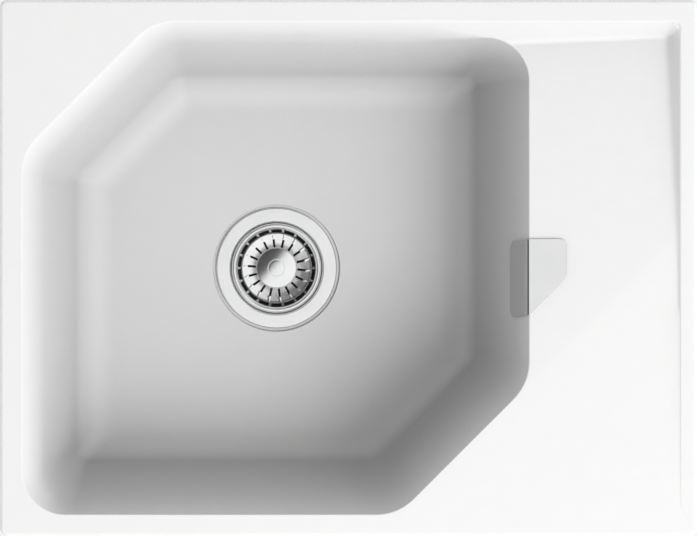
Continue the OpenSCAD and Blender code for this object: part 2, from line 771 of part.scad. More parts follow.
// Moulded body under the sink: flange, chamber with the side inlet, cone, outlet thread, and the hub for the
// waste screw on three ribs
module waste_body() {
    r_in = body_r - body_t;
    out_r = outlet_d / 2;
    out_in = out_r - body_t - 1.4;
    low_z = thread_z - outlet_l;
    spout_l = hose_end + socket_l - r_in;
    color("dimgray") {
        difference() {
            union() {
                at_waste() rotate_extrude($fn = 96) polygon([
                    [0, body_z], [body_flange_r, body_z], [body_flange_r, body_z - body_flange_t],
                    [body_r, body_z - body_flange_t], [body_r, cone_z], [collar_r, cone_z - cone_h],
                    [collar_r, thread_z], [out_r, thread_z], [out_r, low_z], [0, low_z]
                ]);
                at_low_socket() translate([0, 0, -spout_l - over])
                    cylinder(h = spout_l + over, r = spout_r, $fn = 64);
            }
            at_waste() rotate_extrude($fn = 96) polygon([
                [0, body_z + over], [r_in, body_z + over], [r_in, cone_z], [out_in, cone_z - cone_h],
                [out_in, low_z - over], [0, low_z - over]
            ]);
            at_low_socket() {
                translate([0, 0, -hose_end]) cylinder(h = hose_end, r = hose_bore, $fn = 64);
                translate([0, 0, -socket_l]) cylinder(h = socket_l + over, r = socket_r, $fn = 64);
            }
        }
        at_waste() difference() {
            union() {
                translate([0, 0, hub_z - hub_l]) cylinder(h = hub_l, r = hub_r, $fn = 48);
                for (i = [0:2]) rotate([0, 0, 60 + i * 120])
                    translate([0, -body_t / 2, hub_z - hub_l]) cube([rib_reach, body_t, hub_l - 3]);
            }
            translate([0, 0, hub_z - hub_l - over])
                cylinder(h = hub_l + 2 * over, r = waste_insert_r + fit, $fn = 48);
        }
    }
}
module body_insert() {
    color("goldenrod") at_waste()
        tube(waste_screw_d / 2 + fit, waste_insert_r, hub_z - hub_l + 1, hub_l - 2, 48);
}
module waste_screw() {
    color("silver") at_waste() translate([0, 0, dimple_z]) rotate([180, 0, 0])
        pan_screw(waste_screw_d, waste_screw_l);
}

// Strainer basket and what it carries
module basket_window() {
    w = 2 * (basket_low_r + 2) * sin(180 / basket_slots) - rib_w;
    translate([basket_low_r - 4, -w / 2, wall_low_z + 2]) cube([14, w, basket_h - bead_d - 3]);
}
module basket() {
    in_r = bead_mid_r - bead_r;
    color("silver") at_waste() difference() {
        rotate_extrude($fn = 96) {
            translate([bead_mid_r, bead_z]) circle(bead_r, $fn = 32);
            polygon([
                [in_r, bead_z], [basket_low_r, wall_low_z], [basket_flat_r, basket_z],
                [stem_r + fit, basket_z], [stem_r + fit, seal_z], [basket_flat_r, seal_z],
                [basket_low_r + 0.6 * basket_t, wall_low_z - basket_t], [in_r + basket_t, bead_z]
            ]);
        }
        for (i = [0:basket_slots - 1]) {
            rotate([0, 0, (i + 0.5) * 360 / basket_slots]) basket_window();
            rotate([0, 0, i * 360 / basket_slots + slot_turn])
                translate([slot_in_r, -slot_w / 2, basket_z - over])
                    cube([slot_r - slot_in_r, slot_w, 2 * over]);
        }
    }
}
module basket_knob() {
    r = knob_d / 2;
    z = basket_z;
    top = z + knob_h;
    foot = knob_neck_r + 2.5;
    color("silver") at_waste() difference() {
        rotate_extrude($fn = 96) polygon([
            [0, z], [foot, z], [foot, z + 1], [knob_neck_r, z + 4], [knob_neck_r, top - 8],
            [knob_neck_r + 2, top - 5], [r, top - 3.8], [r, top - 2.6],
            each arc(0, top - knob_crown, knob_crown, acos((r - 0.6) / knob_crown), 90)
        ]);
        translate([0, 0, z - over]) cylinder(h = over + stem_in, r = stem_r + fit, $fn = 32);
    }
}
module basket_stem() {
    low = nut_z - 0.6;
    color("silver") at_waste() translate([0, 0, low])
        cylinder(h = basket_z + stem_in - low, r = stem_r, $fn = 48);
}
module basket_seal() {
    low = seal_z - seal_h;
    lip_z = cup_z + seat_gap;
    color("black") at_waste() rotate_extrude($fn = 96) polygon([
        [stem_r + fit, seal_z], [stem_r + 5, seal_z], [stem_r + 5, low + seal_t], [seal_r, low + seal_t],
        [seal_r + 1.5, lip_z], [seal_r + 1.5 - seal_t, lip_z], [seal_r - seal_t, low], [stem_r + fit, low]
    ]);
}
module seal_washer() {
    color("silver") at_waste() tube(stem_r + fit, stem_r + 5, washer_z, seal_washer_t, 48);
}
module stem_nut() {
    color("silver") at_waste() translate([0, 0, nut_z]) difference() {
        cylinder(h = stem_nut_h, r = 1.9 * stem_r, $fn = 6);
        translate([0, 0, -over]) cylinder(h = stem_nut_h + 2 * over, r = stem_r + fit, $fn = 48);
    }
}

// Clips: inserts in the bosses, screws from below, and claws that swing out over the screw heads
module clip_inserts() {
    color("goldenrod") each_clip() tube(screw_d / 2 + fit, insert_d / 2, -boss_h, insert_l, 48);
}
module clip_screws() {
    z = claw_z - seat_gap;
    color("silver") each_clip() translate([0, 0, z]) pan_screw(screw_d, insert_l - boss_h - 0.5 - z);
}
// A claw as it rests along the sink's side, turned back a quarter from where it points when it is out
module clip_claw(i) {
    c = CLIPS[i];
    color("lightslategray") translate([c[0], c[1], claw_z]) rotate([0, 0, c[2] - 90]) difference() {
        union() {
            cylinder(h = claw_t, r = claw_w / 2, $fn = 48);
            translate([0, -claw_w / 2, 0]) cube([claw_reach, claw_w, claw_t]);
            translate([claw_reach - claw_t, -claw_w / 2, 0]) cube([claw_t, claw_w, claw_h]);
        }
        translate([0, 0, -over]) cylinder(h = claw_t + 2 * over, r = screw_d / 2 + swing_fit, $fn = 48);
    }
}

sink_body();
overflow_cover();
overflow_cover_plug();
overflow_bezel();
overflow_gasket();
overflow_elbow();
overflow_hose();
hose_nut_top();
hose_nut_bottom();
hose_washers();
flange_ring();
waste_flange();
body_gasket();
waste_body();
body_insert();
waste_screw();
basket();
basket_knob();
basket_stem();
basket_seal();
seal_washer();
stem_nut();
clip_inserts();
clip_screws();
clip_claw(0);  // clip_claw_1
clip_claw(1);  // clip_claw_2
clip_claw(2);  // clip_claw_3
clip_claw(3);  // clip_claw_4
clip_claw(4);  // clip_claw_5
clip_claw(5);  // clip_claw_6
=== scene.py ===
"""Looks of an inset sink of cast composite with its strainer waste, overflow and clips.

Lengths are in millimetres until a mesh is made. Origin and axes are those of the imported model.
"""
import bmesh
import bpy
import numpy as np
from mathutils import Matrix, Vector
from mathutils.geometry import delaunay_2d_cdt


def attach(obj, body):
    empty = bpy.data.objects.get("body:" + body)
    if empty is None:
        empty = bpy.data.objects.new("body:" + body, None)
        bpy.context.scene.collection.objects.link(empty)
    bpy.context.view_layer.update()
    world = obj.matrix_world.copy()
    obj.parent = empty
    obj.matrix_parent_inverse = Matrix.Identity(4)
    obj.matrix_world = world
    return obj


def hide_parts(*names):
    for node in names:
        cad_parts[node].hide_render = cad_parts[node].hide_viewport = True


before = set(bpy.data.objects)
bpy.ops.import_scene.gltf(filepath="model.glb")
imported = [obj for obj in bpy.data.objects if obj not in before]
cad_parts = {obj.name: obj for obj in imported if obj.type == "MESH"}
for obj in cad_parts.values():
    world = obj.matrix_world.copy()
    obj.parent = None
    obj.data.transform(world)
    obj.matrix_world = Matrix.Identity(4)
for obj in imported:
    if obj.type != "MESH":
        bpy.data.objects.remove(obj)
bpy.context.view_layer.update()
MM, MERGE = 0.001, 2e-5

# Rim
RIM_L, RIM_W, RIM_T = 650.0, 500.0, 10.0
RIM_CORNER, RIM_EDGE, FOOT_EDGE = 7.0, 3.0, 0.6
# Bowl: its middle along X, its half length and half width, and how much the cut takes off each side
BOWL_X, HALF_L, BACK_Y, CUT_LEG = -68.0, 236.5, 230.0, 122.5
EDGE_X = BOWL_X + HALF_L
CUT_DIST = (HALF_L + BACK_Y - CUT_LEG) / np.sqrt(2.0)
# Six sides from the drainer's one on: outward angle, distance from the middle, the radius of the corner after
# each, and which have a bevel under the rim
SIDE_ANGLE = np.radians([0.0, 90.0, 135.0, 180.0, 270.0, 315.0])
SIDE_DIST = np.array([HALF_L, BACK_Y, CUT_DIST] * 2)
CORNER_R = np.array([40.0, 50.0, 50.0] * 2)
LIP_SIDE = np.array([0, 1, 1, 1, 0, 0], bool)
TAPER, LOW_R = 0.6, 12.0
BEVEL, WALL_RUN, WALL_T, LIP_ROUND = 15.0, 48.0, 9.0, 26.0
FLOOR_Z, FLOOR_FALL, FILLET_R = -190.0, 2.0, 35.0
WALL_A = np.radians(14.0)
FILLET_Z = FLOOR_Z + FLOOR_FALL + FILLET_R
WALL_Z = FILLET_Z - FILLET_R * np.sin(WALL_A)
WALL_DROP = RIM_T - WALL_Z
WALL_OFF = WALL_T / np.cos(WALL_A)
SEAT_Z, UNDER_Z, SEAT_R, HOLE_R = FLOOR_Z - 3.0, FLOOR_Z - 10.0, 59.75, 45.0
BOSS_R = SEAT_R + 4.0
# Drainer: its outer wall, the fold x - y = FOLD_C, the fall of land and drainer, half widths of the bends
DRAINER_X, FOLD_C, LAND_IN = 309.7, 276.5, 20.0
LAND_FALL, DRAINER_FALL = 0.0114, 0.0439
LAND_SKEW = LAND_IN / (DRAINER_X - FOLD_C + BACK_Y - LAND_IN)
PAN_OUT, PAN_FROM_X, FOLD_K, WALL_K, FOOT_K = 4.0, 40.0, 5.0, 6.5, 3.0
TOP_K, UNDER_K = 1.0, 2.5
TAP_X, TAP_Y, TAP_R, TAP_TOP = 239.7, -165.0, 17.5, 5.325
# Strainer waste: heights and radii of flange, throat, cup and dimple, then of rolled rim, basket and knob
FLANGE_Z, LEDGE_Z, CUP_Z, DIMPLE_Z = -190.3, -195.5, -228.3, -236.3
FLANGE_R, THROAT_R, CUP_R, CUP_ROUND, DIMPLE_R, SCREW_R, FLANGE_T = 56.85, 42.4, 39.8, 3.0, 9.0, 3.2, 1.2
CUP_HOLE_R, CUP_HOLE_AT = 3.9, 17.5
BEAD_R, BEAD_MID, BEAD_Z = 1.65, 39.85, -193.55
BASKET_Z, WALL_LOW_Z = -221.05, -219.85
BASKET_TOP_R, BASKET_LOW_R, BASKET_FLAT_R, STEM_R, BASKET_T = 38.25, 34.0, 19.6, 3.2, 0.9
SECTORS, SLOT_HALF, SLOT_END_R, RIB_HALF, WINDOW_FOOT_R, CREASE = 18, 0.95, 27.3, 1.15, 33.0, 0.25
KNOB_R, NECK_R, KNOB_FOOT_R, CROWN_R, RING_R, RING_DEEP = 19.1, 6.5, 9.0, 100.0, 7.5, 0.09
KNOB_TOP = BASKET_Z + 25.0
# Overflow
COVER_Y, OVER_TOP, HOLE_DROP = -8.4, 3.2345, 32.0
OVER_A = np.arctan(WALL_RUN / (OVER_TOP - WALL_Z))
OVER_X, OVER_Z = EDGE_X - HOLE_DROP * np.tan(OVER_A), OVER_TOP - HOLE_DROP
OVER_BORE, PAD_R, ELBOW_OUT = 13.2, 25.0, 32.0
PLATE_TILT = np.arctan(DRAINER_FALL - LAND_FALL * LAND_SKEW)
LEG_A = OVER_A + np.radians(2.4) + PLATE_TILT
COVER_L, COVER_H, COVER_T, LEG_L, LEG_CUT, SEAT_GAP = 35.2, 35.4, 1.5, 49.0, 6.5, 0.3
COVER_CORNER, COVER_TURN, BEND_X, BEND_IN = 6.4, 9.0, 0.4, 1.0
# Hose: outer radius, ribs, bore, plain ends and bend. Elbow and inlet set its path
HOSE_R, RIB_H, HOSE_BORE, CUFF, RIBS, BEND_R = 13.0, 1.6, 9.9, 26.0, 66, 104.0
INLET_Z, HOSE_END = -226.0, 69.5
KNEE_X, KNEE_Z = OVER_X + ELBOW_OUT * np.cos(OVER_A), OVER_Z - ELBOW_OUT * np.sin(OVER_A)
HOSE_AZ, HOSE_REACH = np.arctan2(COVER_Y, KNEE_X - BOWL_X), np.hypot(KNEE_X - BOWL_X, COVER_Y)
SOCKET_R, SOCKET_L = HOSE_R + 0.4, 14.0
SPOUT_R, SPOUT_L = SOCKET_R + 3.6, 36.0
HOSE_TOP = KNEE_Z - SPOUT_R - 7.0
HOSE_DROP = HOSE_TOP - INLET_Z - BEND_R
HOSE_L = HOSE_DROP + BEND_R * np.pi / 2 + HOSE_REACH - BEND_R - HOSE_END
# Waste body under the sink, and its outlet's thread
BODY_Z, CONE_Z, THREAD_Z, LOW_Z = -203.0, -245.0, -268.0, -282.0
BODY_BORE, BODY_FLANGE_R, BODY_R, SHOULDER_R, OUTLET_BORE = 46.5, 57.75, 49.5, 25.9, 19.5
CORE_R, THREAD_R, THREAD_H, PITCH, CONE_H = 22.8, 23.9, 1.1, 2.309, 19.0
# Clips: places of their bosses under the rim
CLIPS = [(-100.0, 231.5), (240.0, 231.5), (-200.0, -231.5), (180.0, -231.5), (-306.5, -40.0), (306.5, -20.0)]


# ---- curves and surfaces ----------------

def soft_min(a, b, k):
    """The smaller of a and b, with a parabola of half width k in place of the corner where they cross."""
    h = np.maximum(k - np.abs(a - b), 0.0) / k
    return np.minimum(a, b) - h * h * k / 4.0


def soft_max(a, b, k):
    """The larger of a and b, rounded in the same way."""
    return -soft_min(-a, -b, k)


def bend(a, b, c, n=5):
    """Quadratic curve from a to c that is drawn towards b: (1-t)^2 a + 2t(1-t) b + t^2 c, as n rows."""
    t = np.linspace(0.0, 1.0, n).reshape((n,) + (1,) * np.ndim(a))
    return (1 - t) ** 2 * a + 2 * t * (1 - t) * b + t * t * c


def towards(a, b, length, most=0.45):
    """The point at a length from a on the way to b, row by row, at most a share of the way."""
    d = b - a
    full = np.linalg.norm(d, axis=-1, keepdims=True)
    return a + d * np.minimum(length / np.maximum(full, 1e-9), most)


def softened(points, radius, n=4):
    """Closed outline whose corners are replaced with quadratic curves that start at most radius away."""
    p = np.array(points, float)
    r = np.broadcast_to(np.asarray(radius, float), (len(p),))[:, None]
    a, c = towards(p, np.roll(p, 1, 0), r), towards(p, np.roll(p, -1, 0), r)
    return bend(a, p, c, n).transpose(1, 0, 2).reshape(-1, 2)


def arc(x, y, r, a, b, n):
    """Points on a circle's arc from angle a to angle b, in degrees."""
    t = np.radians(np.linspace(a, b, n))
    return np.stack([x + r * np.cos(t), y + r * np.sin(t)], -1)


def grid_faces(rows, cols, wrap_rows, wrap_cols):
    """Quads between neighbouring points of a grid, joined end to end where it wraps."""
    i = np.arange(rows if wrap_rows else rows - 1)[:, None]
    j = np.arange(cols if wrap_cols else cols - 1)[None, :]
    u, v = (i + 1) % rows, (j + 1) % cols
    return np.stack([i * cols + j, i * cols + v, u * cols + v, u * cols + j], -1).reshape(-1, 4)


def piece(name, parts, sharp=35.0, recalc=False):
    """One object from a list of (points in mm, faces), with doubles merged and the shading split at sharp."""
    verts, faces, base = [], [], 0
    for points, polys in parts:
        points = np.asarray(points, float).reshape(-1, 3)
        verts.append(points)
        faces += [[base + int(k) for k in f] for f in np.asarray(polys).tolist()]
        base += len(points)
    mesh = bpy.data.meshes.new(name)
    mesh.from_pydata((np.concatenate(verts) * MM).tolist(), [], faces)
    tidy = bmesh.new()
    tidy.from_mesh(mesh)
    bmesh.ops.remove_doubles(tidy, verts=tidy.verts, dist=MERGE)
    bmesh.ops.dissolve_degenerate(tidy, edges=tidy.edges, dist=MERGE / 4)
    if recalc:
        bmesh.ops.recalc_face_normals(tidy, faces=tidy.faces)
    tidy.to_mesh(mesh)
    tidy.free()
    obj = bpy.data.objects.new(name, mesh)
    bpy.context.scene.collection.objects.link(obj)
    shade(obj, sharp)
    return obj


def shade(obj, sharp):
    """Smooth shading, split where neighbouring faces turn by more than sharp degrees."""
    mesh = obj.data
    mesh.polygons.foreach_set("use_smooth", np.ones(len(mesh.polygons), bool))
    mesh.set_sharp_from_angle(angle=np.radians(sharp))


def weigh(obj):
    """Normals weighted by face area, so flat faces stay flat up to their rounded edges."""
    mod = obj.modifiers.new("even_normals", "WEIGHTED_NORMAL")
    mod.keep_sharp = True
    mod.weight = 60


def lathe(profile, n, centre=(BOWL_X, 0.0)):
    """Closed outline of (radius, height) carried round a vertical axis at centre."""
    p = np.asarray(profile, float)
    t = np.linspace(0.0, 2 * np.pi, n, endpoint=False)
    x = centre[0] + p[:, 0:1] * np.cos(t)
    y = centre[1] + p[:, 0:1] * np.sin(t)
    z = np.broadcast_to(p[:, 1:2], x.shape)
    faces = grid_faces(len(p), n, True, True)
    area = np.sum(p[:, 0] * np.roll(p[:, 1], -1) - np.roll(p[:, 0], -1) * p[:, 1])
    return np.stack([x, y, z], -1), faces[:, ::-1] if area > 0 else faces


def carried(points, origin, axis_z, axis_x):
    """Points moved from a frame of their own, given by its origin, Z axis and X axis, to the model's."""
    z = np.asarray(axis_z, float) / np.linalg.norm(axis_z)
    x = np.asarray(axis_x, float) - np.dot(axis_x, z) * z
    x /= np.linalg.norm(x)
    return np.asarray(points) @ np.stack([x, np.cross(z, x), z]) + np.asarray(origin, float)


def cut_away(obj, cutter, sharp=35.0):
    """Takes the cutter's closed solid out of obj, and removes the cutter."""
    mod = obj.modifiers.new("cut", "BOOLEAN")
    mod.operation, mod.solver, mod.object = "DIFFERENCE", "EXACT", cutter
    graph = bpy.context.evaluated_depsgraph_get()
    cut = bpy.data.meshes.new_from_object(obj.evaluated_get(graph))
    obj.modifiers.clear()
    obj.data = cut
    bpy.data.objects.remove(cutter)
    shade(obj, sharp)


# ---- the cast sink ----------------

ARC_N, ROUND_N = 15, 9
SIDE_N = [30, 22, 8, 22, 22, 16]
ARC_T = np.linspace(0.0, 1.0, ARC_N)


def outline(offs, grow=0.0, first_r=CORNER_R[0]):
    """Bowl outline with each side moved in by its own offset and all corners rounded.

    The corner radius falls by TAPER for each mm that the sides come in. Columns run anticlockwise from the
    end of the drainer's corner at the back, and have the same order at every offset.
    """
    p = np.broadcast_to(np.asarray(offs, float), (6,))
    q, a, b = np.roll(p, -1), SIDE_ANGLE, np.roll(SIDE_ANGLE, -1)
    radii = CORNER_R.copy()
    radii[0] = first_r
    r = np.maximum(radii - TAPER * ((p + q) / 2 + grow), LOW_R) + grow
    da, db, s = SIDE_DIST - p - r, np.roll(SIDE_DIST, -1) - q - r, np.sin(b - a)
    cx = BOWL_X + (da * np.sin(b) - db * np.sin(a)) / s
    cy = (db * np.cos(a) - da * np.cos(b)) / s
    t = a[:, None] + ((b - a) % (2 * np.pi))[:, None] * ARC_T
    corners = np.stack([cx[:, None] + r[:, None] * np.cos(t), cy[:, None] + r[:, None] * np.sin(t)], -1)
    rows = []
    for i in range(6):
        f = np.linspace(0.0, 1.0, SIDE_N[i] + 2)[1:-1, None]
        rows += [corners[i - 1, -1] * (1 - f) + corners[i, 0] * f, corners[i]]
    return np.roll(np.concatenate(rows), -(SIDE_N[0] + ARC_N - 1), axis=0)


COLS = sum(SIDE_N) + 6 * ARC_N
# Column where the drainer's edge begins; from there to column 0 the bowl opens into the drainer
MOUTH = sum(SIDE_N[1:]) + 4 * ARC_N + 1
# Share of the way along the front cut corner, column by column, and 0 elsewhere
along = np.clip((np.arange(COLS) - (MOUTH - SIDE_N[5] - 1)) / (SIDE_N[5] + 1.0), 0.0, 1.0)
col_turn = 2 * np.pi * np.arange(COLS) / COLS + np.radians(78.0)


def by_side(with_lip, plain):
    """One value for the sides that have a bevel and another for the rest."""
    return np.where(LIP_SIDE, with_lip, plain)


def wall_in(depth, start=0.0):
    """How far a straight wall has come in at a depth, when it has come in by start at that same depth."""
    return start + (WALL_RUN - start) * (depth - start) / (WALL_DROP - start)


def land_level(x, y):
    """Height of the flat land against the rim."""
    return -LAND_FALL * (y + BACK_Y - LAND_SKEW * (DRAINER_X - x))


def foot_round(floor):
    """Half width of the bend at the foot of the drainer's walls, which fades out where they are low."""
    return np.clip(-0.7 * floor, 0.02, FOOT_K)


def pan_level(x, y, out, top_k):
    """Height of the drainer's form against the rim.

    The land's plane, the steeper plane past the fold, and the back and outer walls at 45 degrees are joined
    with rounded edges and cut off level with the rim.
    """
    fold = soft_max(np.zeros_like(x), FOLD_C - x + y, FOLD_K)
    floor = np.minimum(0.0, land_level(x, y) - DRAINER_FALL * fold)
    wall = soft_max(y - BACK_Y - out, x - DRAINER_X - out, WALL_K)
    form = soft_max(floor, wall, foot_round(floor))
    level = soft_min(np.zeros_like(x), form, np.interp(-wall, [4.0, 10.0], [top_k, 0.02]))
    return np.where(x > PAN_FROM_X, np.minimum(level, 0.0), 0.0)


def top_level(x, y):
    """The moulding's upper face outside the bowl."""
    return RIM_T + pan_level(x, y, 0.0, TOP_K)


def under_level(x, y):
    """The moulding's lower face, with the drainer's form set out by the wall's thickness."""
    return pan_level(x, y, PAN_OUT, UNDER_K)


def with_level(xy, level):
    """Ring at the heights that level gives."""
    return np.concatenate([xy, level(xy[:, 0], xy[:, 1])[:, None]], -1)


def flat_ring(xy, z):
    """Ring at one height."""
    return np.concatenate([xy, np.full((len(xy), 1), float(z))], -1)


def rounded_rectangle(inset):
    """Outer outline of the rim moved in by inset, anticlockwise."""
    x, y, r = RIM_L / 2 - RIM_CORNER, RIM_W / 2 - RIM_CORNER, RIM_CORNER - inset
    rows = [arc(sx * x, sy * y, r, 90 * k - 90, 90 * k, 9)
            for k, (sx, sy) in enumerate([(1, -1), (1, 1), (-1, 1), (-1, -1)])]
    f = np.linspace(0.0, 1.0, 20)[1:-1, None]
    return np.concatenate([part for a, b in zip(rows, rows[1:] + rows[:1])
                           for part in (a, a[-1] * (1 - f) + b[0] * f)])


def rim_side():
    """Rings of the rim's side: a quarter circle from the top, straight down, a small curve to the seat."""
    a = np.radians(np.linspace(90.0, 0.0, 8))
    inset = np.concatenate([RIM_EDGE * (1 - np.cos(a)), [0.0, 0.15, FOOT_EDGE]])
    z = np.concatenate([RIM_T - RIM_EDGE * (1 - np.sin(a)), [FOOT_EDGE, 0.15, 0.0]])
    return [flat_ring(rounded_rectangle(i), h) for i, h in zip(inset, z)]


def spread(loops, lines, points, level):
    """Flat triangulation between an outer and an inner loop that keeps the lines, lifted by level.

    The loops' own heights stay. Triangles inside the inner loop are left out.
    """
    known = np.concatenate([loop[:, 2] for loop in loops])
    flat, edges, base = [], [], 0
    for line, closed in [(loop[:, :2], True) for loop in loops] + lines:
        n = len(line)
        flat.append(line)
        edges += [(base + k, base + (k + 1) % n) for k in range(n if closed else n - 1)]
        base += n
    flat = np.concatenate(flat + [points])
    out, _, tris, source = delaunay_2d_cdt([Vector(p) for p in flat.tolist()], edges, [], 0, 1e-4)[:4]
    xy = np.array([tuple(v) for v in out])
    z = level(xy[:, 0], xy[:, 1])
    for k, came in enumerate(source):
        held = [c for c in came if c < len(known)]
        if held:
            z[k] = known[held[0]]
    tris = np.array([list(t) for t in tris])
    mid = xy[tris].mean(1)
    keep = inside(mid, loops[0][:, :2]) & ~inside(mid, loops[1][:, :2])
    return np.concatenate([xy, z[:, None]], -1), tris[keep]


def inside(p, loop):
    """True for points in a closed outline, by counting the edges that a ray along +X crosses."""
    a, b = loop, np.roll(loop, -1, 0)
    px, py = p[:, 0:1], p[:, 1:2]
    spans = (a[:, 1] > py) != (b[:, 1] > py)
    rise = np.where(b[:, 1] == a[:, 1], 1e-12, b[:, 1] - a[:, 1])
    return (np.sum(spans & (px < a[:, 0] + (py - a[:, 1]) * (b[:, 0] - a[:, 0]) / rise), 1) % 2) == 1


def bowl_side(edge, lip, mouth, out_dir, foot, level, k, lip_round=0.0):
    """The bowl's upper part on one side of the casting: edge, lip and the start of the wall.

    edge and lip are rings for the columns before MOUTH, mouth is the ring for those from MOUTH to column 0,
    foot is the ring that the wall runs to, k is the size of the rounded edges, and lip_round is how much more
    the bend from lip to wall takes. Returns the grids, the boundary towards the rim, and the ring where the
    wall starts.
    """
    plain = np.arange(MOUTH + 1)
    g0 = with_level(edge, level)
    g1 = lip * (1 - along[:, None]) + g0 * along[:, None]
    a = with_level(edge + out_dir * k, level)
    b = towards(g0, np.where(along[:, None] > 0.6, foot, g1), 1.2 * k)
    rows_b = bend(a, g0, b, ROUND_N)
    easy = np.clip(np.arange(COLS) / 6.0, 0.0, 1.0)[:, None]
    reach = 1.2 * k + lip_round * easy
    rows_c = bend(towards(g1, g0, reach, 0.85), g1, towards(g1, foot, reach), ROUND_N)
    rows_c[:, MOUTH] = rows_b[-1, MOUTH]
    top = with_level(mouth, level)
    rows_m = bend(with_level(mouth + out_dir * k, level), top, towards(top, foot, 1.2 * k), ROUND_N)
    rows_m[:, MOUTH], rows_m[:, 0] = rows_b[:, MOUTH], rows_c[:, 0]
    strip = np.concatenate([rows_b, rows_c])[:, plain]
    around = np.concatenate([np.arange(MOUTH, COLS), [0]])
    gate = rows_m[:, around]
    grids = [(strip, grid_faces(len(strip), len(plain), False, False)),
             (gate, grid_faces(len(gate), len(around), False, False))]
    border = np.concatenate([rows_b[0, plain], rows_m[0, MOUTH + 1:], rows_c[0, :1], rows_b[:0:-1, 0]])
    start = np.where((np.arange(COLS) >= MOUTH)[:, None], rows_m[-1], rows_c[-1])
    return grids, border, start


def drainer_lines(out, top_k):
    """Lines that the drainer's faces need: along its top edge, along the foot of its walls, and at the fold.

    d runs along both walls, from the back wall's left end through their corner, at 0, to the other's front.
    """
    d = np.concatenate([np.linspace(*run) for run in ((-178.0, -7.0, 22), (-6.0, 6.0, 13), (7.0, 452.0, 46))])
    h = np.maximum(WALL_K - np.abs(d), 0.0) / WALL_K

    def at(c):
        """Line where the walls' form has the height c."""
        low = -c + h * h * WALL_K / 4.0
        q = np.where(d > 0, low, low - d)
        p = np.where(d > 0, low + d, low)
        return np.stack([DRAINER_X + out - q, BACK_Y + out - p], -1)

    lines = [(at(c * top_k), False) for c in (1.0, 0.5, 0.0, -0.5, -1.0)]
    c = np.zeros_like(d)
    for _ in range(12):
        xy = at(c)
        c = land_level(xy[:, 0], xy[:, 1]) - DRAINER_FALL * np.maximum(FOLD_C - xy[:, 0] + xy[:, 1], 0.0)
    deep = c < -2.2 * top_k
    lines += [(at(c + s * foot_round(c))[deep], False) for s in (-1.0, -0.5, 0.0, 0.5, 1.0)]
    along_fold = np.linspace(0.0, 1.0, 14)[:, None]
    start_x, end_x = EDGE_X + 7.0 + out, DRAINER_X - 8.0
    for v in (-FOLD_K, -FOLD_K / 2, 0.0, FOLD_K / 2, FOLD_K):
        start = np.array([start_x, start_x - FOLD_C + v])
        end = np.array([end_x, end_x - FOLD_C + v])
        lines.append((start * (1 - along_fold) + end * along_fold, False))
    return lines


def inner_points(border, gap):
    """Points every 12 mm over the drainer, kept clear of the bowl's border, for an even mesh."""
    x, y = np.meshgrid(np.arange(60.0, 302.0, 12.0), np.arange(-222.0, 204.0, 12.0))
    p = np.stack([x.ravel(), y.ravel()], -1)
    near = np.min(np.linalg.norm(p[:, None] - border[None, :, :2], axis=-1), axis=1)
    off_fold = np.abs(FOLD_C - p[:, 0] + p[:, 1]) > 9.0
    return p[(~inside(p, border[:, :2])) & (near > gap) & off_fold & (p[:, 0] - p[:, 1] > PAN_FROM_X)]


def circle_ring(r, z, turn=col_turn):
    """Ring round the waste's axis, at the angles of the bowl's columns or at others."""
    return np.stack([BOWL_X + r * np.cos(turn), r * np.sin(turn), np.full(len(turn), float(z))], -1)


def between(a, b, shares):
    """Rings at shares of the way from a to b."""
    return [a * (1 - s) + b * s for s in shares]


